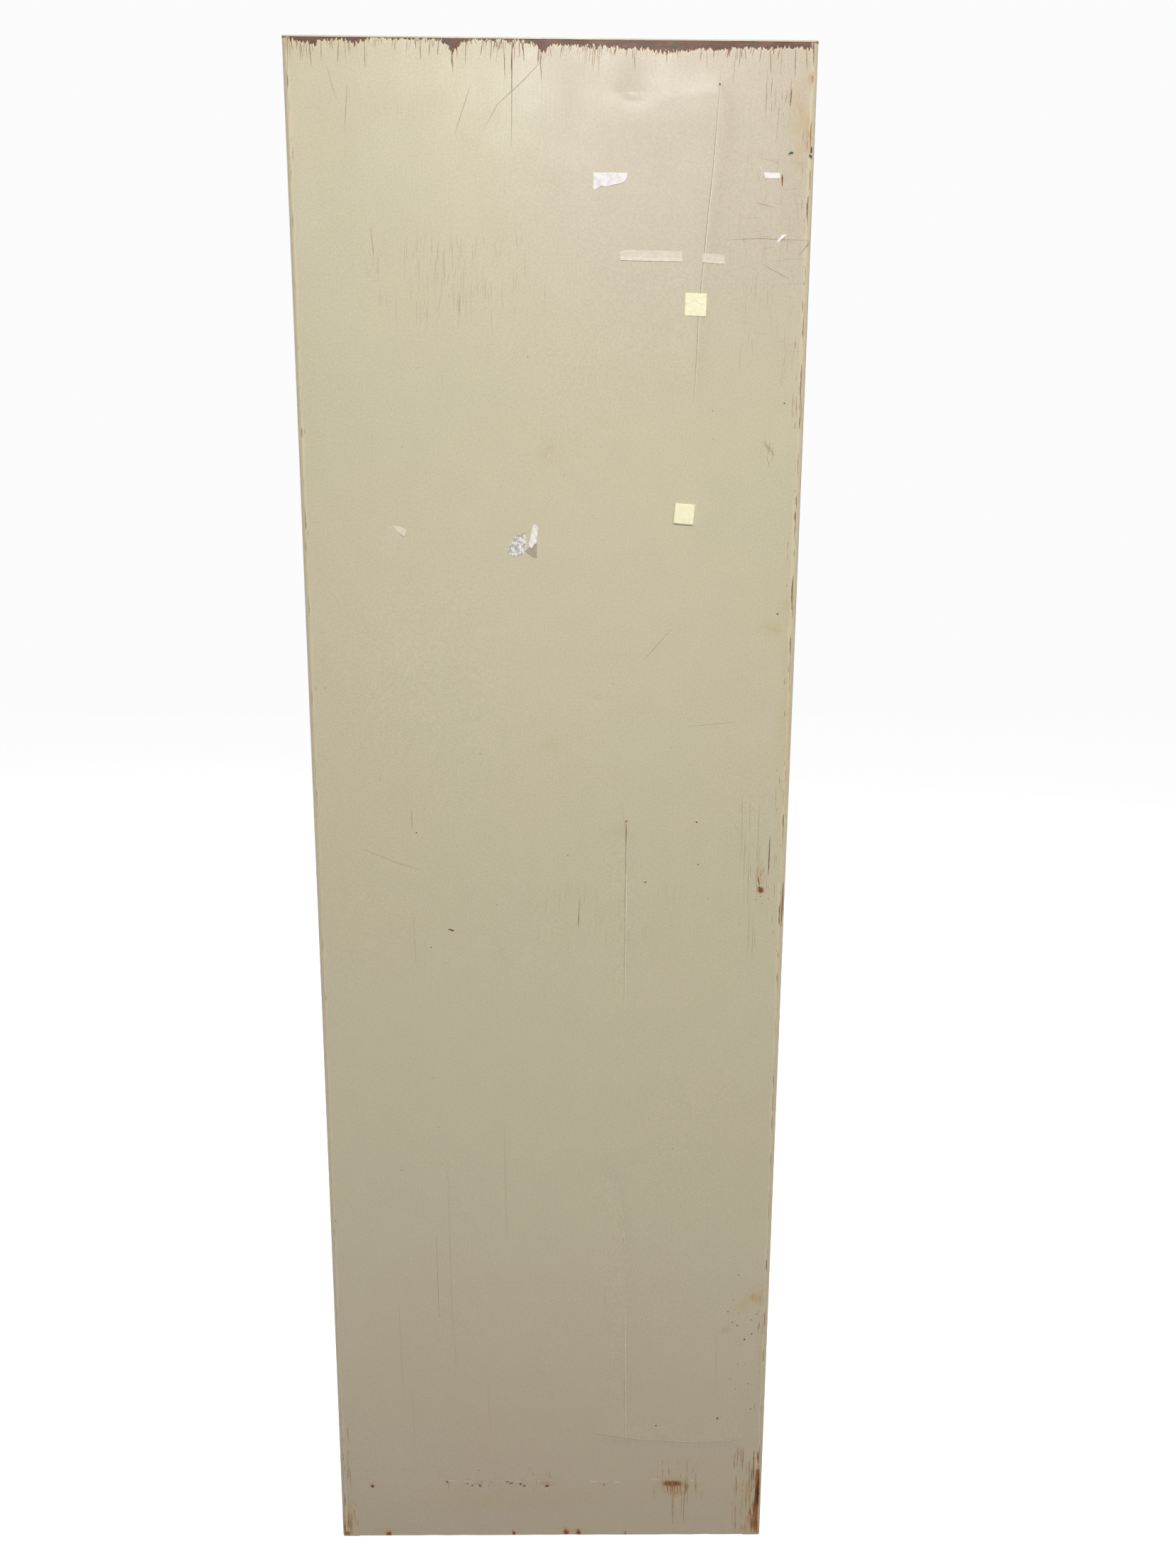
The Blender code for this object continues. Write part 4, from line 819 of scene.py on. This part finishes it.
def crease_lines():
    """Painted shade as a dark line along each crease, and a painted highlight as a pale line just beside
    it.
    """
    # painted shade: dark lines along the creases, and one more by the top of the middle crease
    shaded_lines = [(line, 0.7) for line, *_ in CREASES.values()]
    shaded_lines.append((((0.648, 0.553), (0.656, 0.536), (0.66, 0.505)), 0.5))
    mark("crease_painted_shade", ribbon_mesh(shaded_lines, 0.045), (0.38, 0.315, 0.225), (0.31, 0.25, 0.17), 0.6)
    # painted highlight: pale lines just beside the creases
    highlight_lines = [([(u + 0.0022, v + 0.0003) for u, v in line], 0.8) for line, *_ in CREASES.values()]
    mark("crease_painted_highlights", ribbon_mesh(highlight_lines, 0.03), (0.7, 0.65, 0.53), (0.62, 0.57, 0.44), 0.6)


def brown_scratches_and_dent_shade():
    """Scratches gone through to rust, and the dark line of the sharp dent, which is painted shade in its
    crease.
    """
    mark("brown_scratches_and_dent_shade", ribbon_mesh(BROWN_SCRATCHES_AND_DENT_SHADE, 0.07), RUST, RUST_DARK)


# Marks that run down the sheet from places in a region: how many, its ranges of u and v, then their
# usual length and width in mm, and how far they lean
SIDE_STREAKS = (
    (46, (0.972, 0.993), (0.45, 0.99), 9, 0.5, 0.001),
    (24, (0.007, 0.018), (0.05, 0.99), 9, 0.45, 0.001),
    (16, (0.9, 0.955), (0.955, 0.985), 10, 0.45, 0.003),
)
RUST_RUNS = (  # from the weld row, then in the lower right corner
    (46, (0.74, 0.865), (0.038, 0.066), 11, 0.4, 0.002),
    (24, (0.765, 0.822), (0.043, 0.048), 12, 0.8, 0.002),
    (5, (0.785, 0.825), (0.038, 0.042), 32, 0.5, 0.002),
    (16, (0.43, 0.5), (0.04, 0.062), 7, 0.4, 0.002),
    (12, (0.23, 0.4), (0.04, 0.06), 7, 0.4, 0.002),
    (60, (0.93, 0.992), (0.01, 0.078), 20, 0.45, 0.003),
    (46, (0.974, 0.993), (0.01, 0.075), 24, 0.9, 0.002),
    (14, (0.984, 0.993), (0.03, 0.06), 60, 2.2, 0.001),
)
TAN_RUNS = (
    (12, (0.008, 0.024), (0.01, 0.095), 22, 1.0, 0.002),
    (8, (0.012, 0.04), (0.006, 0.03), 12, 0.9, 0.002),
    (10, (0.975, 0.99), (0.1, 0.2), 16, 0.8, 0.002),
)


def runs(regions):
    """The ribbons of some marks that run down the sheet."""
    made = []
    for count, u_range, v_range, length, width, lean in regions:
        for _ in range(count):
            u, v = rng.uniform(*u_range), rng.uniform(*v_range)
            drop = min(rng.gamma(2.0, length / 2), 3 * length) * MM / HEIGHT
            end = (min(max(u + rng.uniform(-lean, lean), 0.006), 0.994), max(v - drop, 0.002))
            made.append((((u, v), end), width * rng.uniform(0.6, 1.4)))
    return made


# How thick the brown streaks stand below the bared primer, across the sheet
STREAKED_U = (0.0, 0.08, 0.3, 0.36, 0.52, 0.62, 1.0)
STREAKED = (0.5, 0.4, 0.6, 1, 1, 0.5, 0.4)


def streaks():
    """Brown streaks in the paint below the bared primer, and down the sheet's sides."""
    brown = []
    for _ in range(330):
        u = rng.uniform(0.01, 0.985)
        if rng.random() > np.interp(u, STREAKED_U, STREAKED):
            continue
        v = 1 - (float(np.interp(u, PRIMER_U, PRIMER_MM)) + 1) * MM / HEIGHT
        drop = min(rng.gamma(1.7, 6.5), 42) * MM / HEIGHT
        brown.append((((u, v), (u + rng.uniform(-0.005, 0.003), v - drop)), rng.uniform(0.3, 0.8)))
    brown += runs(SIDE_STREAKS)
    mark("brown_streaks", ribbon_mesh(brown, 0.045), (0.36, 0.22, 0.13), (0.21, 0.1, 0.055))


def rust_runs():
    """Rust run down from the weld row and in the lower right corner, and tan runs at the edges."""
    mark("rust_runs", ribbon_mesh(runs(RUST_RUNS), 0.06), (0.4, 0.19, 0.065), (0.26, 0.1, 0.028))
    mark("tan_runs", ribbon_mesh(runs(TAN_RUNS), 0.05), (0.47, 0.33, 0.17), (0.38, 0.24, 0.11))


# Paint scraped pale on the weld row, then single specks of rust and chips of old green paint.
# A speck is its place (u, v) and its radii across and up in mm.
SCRAPES = (
    (0.262, 0.0475), (0.3, 0.047), (0.312, 0.0465), (0.345, 0.045), (0.395, 0.047),
    (0.42, 0.047), (0.47, 0.047), (0.6, 0.0465), (0.625, 0.0465), (0.655, 0.046),
    (0.745, 0.048), (0.835, 0.047),
)
RUST_SPECKS = (
    (0.947, 0.4945, 2.6, 2.6), (0.9435, 0.4965, 1.2, 1.6), (0.344, 0.606, 0.9, 0.7),
    (0.342, 0.637, 1.0, 0.8), (0.288, 0.4665, 1.6, 0.8), (0.8065, 0.5405, 1.3, 1.0),
    (0.658, 0.541, 1.2, 1.2), (0.8165, 0.9765, 0.9, 1.2), (0.9595, 0.801, 1.1, 1.1),
    (0.961, 0.6745, 1.2, 1.2), (0.906, 0.185, 0.9, 0.9), (0.928, 0.174, 0.8, 1.4),
    (0.946, 0.163, 1.2, 1.8), (0.889, 0.099, 1.5, 1.5), (0.745, 0.093, 1.2, 1.2),
    (0.331, 0.0425, 2.2, 1.5), (0.489, 0.0425, 3.0, 1.6), (0.075, 0.043, 2.4, 2.0),
    (0.41, 0.0025, 1.6, 2.4), (0.7, 0.5, 1.6, 1.0), (0.216, 0.533, 0.9, 0.9),
    (0.242, 0.455, 0.8, 0.8), (0.535, 0.518, 0.7, 0.7), (0.352, 0.585, 0.7, 0.7),
    (0.812, 0.512, 1.0, 0.7), (0.252, 0.0465, 1.2, 2.4), (0.312, 0.0435, 1.6, 1.0),
    (0.3, 0.0455, 0.8, 1.6), (0.395, 0.0468, 3.4, 0.9), (0.404, 0.0455, 2.4, 1.0),
    (0.426, 0.0445, 1.8, 1.6), (0.435, 0.043, 2.0, 1.3), (0.327, 0.056, 0.9, 0.9),
    (0.624, 0.0435, 1.4, 0.8),
)
GREEN_CHIPS = (
    (0.956, 0.9405, 2.4, 1.3), (0.9515, 0.94, 1.2, 1.0), (0.992, 0.939, 2.0, 1.6),
    (0.9935, 0.9425, 0.9, 3.4),
)


def spots():
    scraped = [(u, v, rng.uniform(3, 7), rng.uniform(0.8, 2.0)) for u, v in SCRAPES]
    mark("scraped_paint", spot_mesh(scraped, 0.05), (0.66, 0.6, 0.48), (0.56, 0.49, 0.37))

    rusty = list(RUST_SPECKS)
    for _ in range(22):
        rusty.append((rng.uniform(0.02, 0.98), rng.uniform(0.08, 0.84), 0.55, 0.55))
    for u_range, v_range, count, size in (((0.9, 0.975), (0.1, 0.22), 14, (0.5, 1.1)),
                                          ((0.93, 0.965), (0.485, 0.515), 10, (0.4, 0.8))):
        for _ in range(count):
            u, v = rng.uniform(*u_range), rng.uniform(*v_range)
            rusty.append((u, v, rng.uniform(*size), rng.uniform(*size)))
    mark("rust_specks", spot_mesh(rusty, 0.09), RUST, RUST_DARK)
    mark("green_chips", spot_mesh(GREEN_CHIPS, 0.09), (0.035, 0.105, 0.06), (0.016, 0.04, 0.026), 0.6)


# ---------------------------------------------------------------- what is stuck to the back

def foam_crests(a, b):
    """How far each point of a foam square is on a crest of its wrinkles, from 0 to 1, for a across
    the square and b up it, both from -1 to 1."""
    upper = np.exp(-((b - 0.3 - 0.18 * np.sin(5 * a + 1)) / 0.09) ** 2)
    slanting = 0.8 * np.exp(-((b - 0.62 + 0.25 * a) / 0.07) ** 2) * (a < 0.2)
    lower = 0.6 * np.exp(-((b + 0.45 - 0.1 * np.sin(7 * a)) / 0.1) ** 2) * (a > -0.1)
    return np.maximum(np.maximum(upper, slanting), lower)


def foam_pad(name, node_name, centre, size, tilt, finish, wrinkle):
    """A square of foam, a little crooked, with soft edges and a wrinkled face."""
    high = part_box(node_name)[1]
    count = 49
    s = np.linspace(-1, 1, count)
    a, b = np.meshgrid(s, s)
    squeeze = 1 - 0.012 * (np.abs(a) ** 6 * np.abs(b) ** 6)
    flat = np.stack([a * size / 2 * squeeze, b * size / 2 * squeeze], -1)
    turn = np.array(((math.cos(tilt), -math.sin(tilt)), (math.sin(tilt), math.cos(tilt))))
    flat = flat @ turn
    x = across(centre[0]) + flat[..., 0]
    z = up(centre[1]) + flat[..., 1]
    rounding = 0.35 * MM * (np.maximum(np.abs(a), np.abs(b)) ** 40)
    y = high.y - rounding - wrinkle * (1 - foam_crests(a, b)) - 0.05 * MM
    underside = Y_SHEET + np.minimum(relief(x, z), 0) + STUCK
    top = np.stack([x, y, z], -1).reshape(-1, 3)
    below = np.stack([x, underside, z], -1).reshape(-1, 3)
    faces = slab(count, count)
    made = piece(name, np.concatenate([top, below]), faces, finish, slot="foam", smooth_angle=60)
    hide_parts(node_name)


def foam_squares(foam):
    foam_pad("foam_square_upper", "foam_pad_upper", (0.78, 0.8566), 25.4 * MM, math.radians(-1.5), foam,
             0.45 * MM)
    foam_pad("foam_square_lower", "foam_pad_lower", (0.7664, 0.7352), 24.0 * MM, math.radians(-5), foam,
             0.12 * MM)


def paper_scraps():
    """Torn scraps of label and paper."""
    white = paper("torn_paper", (0.86, 0.83, 0.83), (0.62, 0.57, 0.62))
    cream = paper("old_paper", (0.7, 0.65, 0.52), (0.58, 0.53, 0.42))
    torn_edge = ((0.581, 0.9195), (0.587, 0.9202), (0.596, 0.9218), (0.606, 0.9214), (0.614, 0.9222),
                 (0.627, 0.9228), (0.639, 0.924), (0.645, 0.9268))
    patch("torn_label", ((0.581, 0.929), (0.613, 0.9291), (0.645, 0.929)), torn_edge, white,
          0.12, lambda s, t: 0.5 * t ** 3 * (0.4 + 0.6 * np.sin(7 * s) ** 2), 12, 40)
    patch("white_tape", ((0.9035, 0.93), (0.935, 0.9297)), ((0.907, 0.9266), (0.935, 0.9266)), white,
          0.15, lambda s, t: 0.35 * t ** 2, 8, 20)
    patch("curled_paper", ((0.9435, 0.8962), (0.9525, 0.896)), ((0.933, 0.8925), (0.937, 0.8918)), white,
          0.12, lambda s, t: 1.6 * np.sin(math.pi * t) ** 2 * (0.4 + 0.6 * s), 12, 10)
    patch("peeled_corner", ((0.182, 0.7272), (0.196, 0.727), (0.211, 0.725)),
          ((0.2, 0.7216), (0.206, 0.7208)), cream,
          0.1, lambda s, t: 1.1 * t ** 2 * (1 - 0.5 * s), 10, 14)
    patch("scalloped_flap", ((0.455, 0.716), (0.459, 0.7215), (0.465, 0.7284), (0.472, 0.7278)),
          ((0.46, 0.7135), (0.466, 0.7165), (0.47, 0.717), (0.4745, 0.7262)), white,
          0.12, lambda s, t: 1.4 * (0.3 + 0.7 * t) * (0.7 + 0.3 * np.sin(22 * s)), 10, 30)


def tape_with_painted_glints():
    """Crumpled tape with painted glints: bright colour is painted on its folds where they would catch
    the light.
    """
    made = clear_tape("tape_painted_glints", (0.66, 0.63, 0.6), 0.66, 0.1, 2.4 * MM)
    tree = made.node_tree
    # painted highlights: bright patches of colour stand in for glints on the folds
    folds = between(tree, noise(tree, 300, detail=2.0), 0.49, 0.53)
    painted_glint_colour = mix(tree, folds, (0.58, 0.55, 0.52), (0.97, 0.96, 0.95))
    tree.links.new(painted_glint_colour, tree.nodes["Principled BSDF"].inputs["Base Color"])
    return made


def tapes():
    """Strips of old clear tape, the crumpled piece, and a darker tail of tape that paints a shadow below
    the crumpled tape and the scalloped flap.
    """
    matt = clear_tape("matt_tape", (0.8, 0.735, 0.62), 0.62, 0.42)
    shiny = tape_with_painted_glints()
    # painted shadow: a darker, denser tape for the tail that stands in for shade
    shadow_tint = clear_tape("tape_painted_shadow", (0.5, 0.44, 0.33), 0.42, 0.6)
    faint = clear_tape("faint_tape", (0.84, 0.79, 0.66), 0.13, 0.4)

    def lifted(height):
        return lambda s, t: height * smooth(0.72, 1.0, t) * (0.75 + 0.25 * np.sin(31 * s))

    def crumple(s, t):
        folds = np.abs(np.sin(19 * s + 9 * t) * np.sin(15 * t - 8 * s)) ** 0.5
        return 0.7 * folds * smooth(0, 0.1, s)

    patch("clear_tape_left", ((0.633, 0.887), (0.69, 0.8868), (0.752, 0.8862)),
          ((0.633, 0.8812), (0.7, 0.8808), (0.752, 0.8806)), matt, 0.1, lifted(0.9), 14, 70)
    patch("clear_tape_right", ((0.79, 0.8852), (0.834, 0.8848)), ((0.792, 0.8802), (0.834, 0.8796)),
          matt, 0.1, lifted(0.6), 12, 34)
    patch("tape_tail", ((0.8945, 0.933), (0.899, 0.9325)), ((0.905, 0.9288), (0.908, 0.9268)), matt,
          0.1, None, 8, 8)
    patch("faint_tape_outline", ((0.176, 0.7272), (0.207, 0.725)), ((0.153, 0.71), (0.178, 0.707)),
          faint, 0.06, None, 10, 14)
    patch("crumpled_tape", ((0.417, 0.717), (0.432, 0.7222), (0.448, 0.7236)),
          ((0.413, 0.711), (0.424, 0.7088), (0.443, 0.71), (0.452, 0.714)), shiny,
          0.1, crumple, 22, 34)
    # painted shadow below the crumpled tape and the scalloped flap, as a darker tail of tape
    patch("tape_shadow_tail", ((0.445, 0.713), (0.46, 0.715), (0.4715, 0.717)),
          ((0.45, 0.7115), (0.462, 0.7085), (0.4715, 0.7078)), shadow_tint, 0.06, None, 8, 18)


# ---------------------------------------------------------------- the frame's own pieces

# A screw head from the middle of its socket to its rim: radius, and height off the leaf, in mm
HEAD_PROFILE = ((0.0, 0.5), (1.05, 0.5), (1.3, 1.25), (2.2, 1.1), (2.9, 0.75), (3.25, 0.3), (3.3, 0.02))
HEAD_SIDES = 24
SCREWS_UP_LEAF = (0.15, 0.5, 0.85)
SCREW_BAND = 6 * MM  # half of the strip of leaf that the screws sit in
KNUCKLE_ROOM = 4 * MM  # what the knuckle takes of a leaf beside the pin


def screw_head(name, centre, y_face, body, finish):
    """A socket button head on a face that looks towards -Y."""
    turns = np.linspace(0, 2 * math.pi, HEAD_SIDES, endpoint=False)
    rings = HEAD_PROFILE[1:]
    vertices = [(centre[0], y_face - HEAD_PROFILE[0][1] * MM, centre[1])]
    for radius, height in rings:
        for turn in turns:
            vertices.append((centre[0] + radius * MM * math.cos(turn), y_face - height * MM,
                             centre[1] + radius * MM * math.sin(turn)))
    faces = [(0, 1 + (i + 1) % HEAD_SIDES, 1 + i) for i in range(HEAD_SIDES)]
    for ring in range(len(rings) - 1):
        a = 1 + ring * HEAD_SIDES
        for i in range(HEAD_SIDES):
            j = (i + 1) % HEAD_SIDES
            faces.append((a + i, a + j, a + HEAD_SIDES + j, a + HEAD_SIDES + i))
    last = 1 + (len(rings) - 1) * HEAD_SIDES
    faces.append(tuple(last + i for i in range(HEAD_SIDES)))
    piece(name, vertices, faces, finish, body=body, slot="zinc_steel", smooth_angle=35)


def hinge_screws(finish):
    """Three screws in each hinge leaf."""
    for height in ("lower", "middle", "upper"):
        pin_low, pin_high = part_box(f"hinge_{height}_pin")
        for side, body in (("frame", "cabinet"), ("door", "door")):
            low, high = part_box(f"hinge_{height}_{side}_leaf")
            outer = (low.x + pin_low.x) / 2 if side == "frame" else (high.x + pin_high.x) / 2
            leaf = frame["nodes"][f"hinge_{height}_{side}_leaf"]
            corners = [leaf.matrix_world @ vertex.co for vertex in leaf.data.vertices]
            clear = (pin_low.x - KNUCKLE_ROOM, pin_high.x + KNUCKLE_ROOM)
            flat = [corner for corner in corners if not clear[0] <= corner.x <= clear[1]]
            y_face = min(corner.y for corner in flat if abs(corner.x - outer) > SCREW_BAND)
            for number, share in enumerate(SCREWS_UP_LEAF):
                z = low.z + share * (high.z - low.z)
                screw_head(f"screw_{height}_{side}_{number}", (outer, z), y_face, body, finish)


def finish_frame(foam):
    """Materials and softened edges for the CAD nodes, and screws in the hinges."""
    beige = enamel("beige_enamel", (BEIGE_GREEN, BEIGE_PINK), 0.42, foot=1.0)
    red = enamel("red_enamel", ((0.42, 0.022, 0.014), (0.33, 0.02, 0.014)), 0.33,
                 chip=(0.12, 0.06, 0.04), wear=0.66, coat=0.4)
    zinc = plated("zinc_plate", (0.43, 0.43, 0.41), (0.25, 0.235, 0.205), 0.4)
    chrome = plated("satin_chrome", (0.66, 0.66, 0.67), (0.45, 0.44, 0.43), 0.2, (1, 0.1, 1), 0.25)
    finishes = {
        "beige_paint": beige,
        "red_paint": red,
        "zinc_steel": zinc,
        "chrome": chrome,
        "brass": cast_brass(),
        "rubber": black_rubber(),
        "foam": foam,
        "glass": window_pane(),
    }
    for row in frame["record"]["subparts"]:
        made = frame["nodes"][row["node"]]
        made.data.materials.clear()
        made.data.materials.append(finishes[row["material_slot"]])
        made.data.polygons.foreach_set("material_index", [0] * len(made.data.polygons))
        soften = made.modifiers.new("soft_edges", "BEVEL")
        soften.width = 0.35 * MM
        soften.segments = 2
        soften.limit_method = "ANGLE"
        soften.angle_limit = math.radians(50)
        soften.harden_normals = False
    hinge_screws(zinc)


# ---------------------------------------------------------------- surroundings

def stage_floor():
    mesh = bpy.data.meshes.new("studio_floor")
    corners = [(x * FLOOR_REACH, y * FLOOR_REACH, 0) for x, y in ((-1, -1), (1, -1), (1, 1), (-1, 1))]
    mesh.from_pydata(corners, [], [(0, 1, 2, 3)])
    floor = bpy.data.objects.new("studio_floor", mesh)
    bpy.context.scene.collection.objects.link(floor)
    made, tree, shader = shader_tree("studio_floor", (0.5, 0.5, 0.5), 0.9)
    pale = mix(tree, noise(tree, 2.5), (0.48, 0.48, 0.475), (0.52, 0.52, 0.515))
    drive(tree, shader, Base_Color=pale)
    mesh.materials.append(made)
    shader.inputs["Emission Color"].default_value = (1.0, 1.0, 1.0, 1)
    shader.inputs["Emission Strength"].default_value = FLOOR_GLOW
    floor.visible_diffuse = False  # it throws no light back at the cabinet


def area_light(name, place_at, aim, size, power, colour):
    data = bpy.data.lights.new(name, "AREA")
    data.shape = "RECTANGLE"
    data.size, data.size_y = size
    data.energy = power
    data.color = colour
    light = bpy.data.objects.new(name, data)
    light.location = place_at
    light.rotation_mode = "QUATERNION"
    light.rotation_quaternion = (Vector(aim) - Vector(place_at)).to_track_quat("-Z", "Y")
    bpy.context.scene.collection.objects.link(light)


def lights_and_world():
    for name, settings in LIGHTS.items():
        area_light(name, *settings)
    world = bpy.data.worlds.new("studio")
    bpy.context.scene.world = world
    world.use_nodes = True
    tree = world.node_tree
    background = tree.nodes["Background"]
    background.inputs["Color"].default_value = (1.0, 1.0, 1.0, 1)
    rays = node(tree, "LightPath").outputs
    seen = math_node(tree, "MAXIMUM", rays["Is Camera Ray"], rays["Is Transmission Ray"])
    strength = between(tree, seen, 0, 1, WORLD_LIGHT, WORLD_SEEN)
    tree.links.new(strength, background.inputs["Strength"])
    bpy.context.scene.view_settings.view_transform = "Standard"


def camera():
    out = math.cos(CAMERA_PITCH)
    ahead = Vector((math.sin(CAMERA_YAW) * out, -math.cos(CAMERA_YAW) * out, math.sin(CAMERA_PITCH)))
    level = ahead.cross(Vector((0, 0, 1))).normalized()
    upright = level.cross(ahead)
    right = level * math.cos(CAMERA_ROLL) + upright * math.sin(CAMERA_ROLL)
    top = upright * math.cos(CAMERA_ROLL) - level * math.sin(CAMERA_ROLL)
    data = bpy.data.cameras.new("camera")
    data.sensor_fit = "AUTO"
    data.sensor_width = SENSOR
    data.lens = CAMERA_LENS
    made = bpy.data.objects.new("camera", data)
    turned = Matrix((right, top, -ahead)).transposed().to_4x4()
    made.matrix_world = Matrix.Translation(CAMERA_PLACE) @ turned
    bpy.context.scene.collection.objects.link(made)
    bpy.context.scene.camera = made


foam = foam_rubber()
finish_frame(foam)
back_sheet()
scratches()
crease_lines()
brown_scratches_and_dent_shade()
streaks()
rust_runs()
spots()
foam_squares(foam)
paper_scraps()
tapes()
stage_floor()
lights_and_world()
camera()
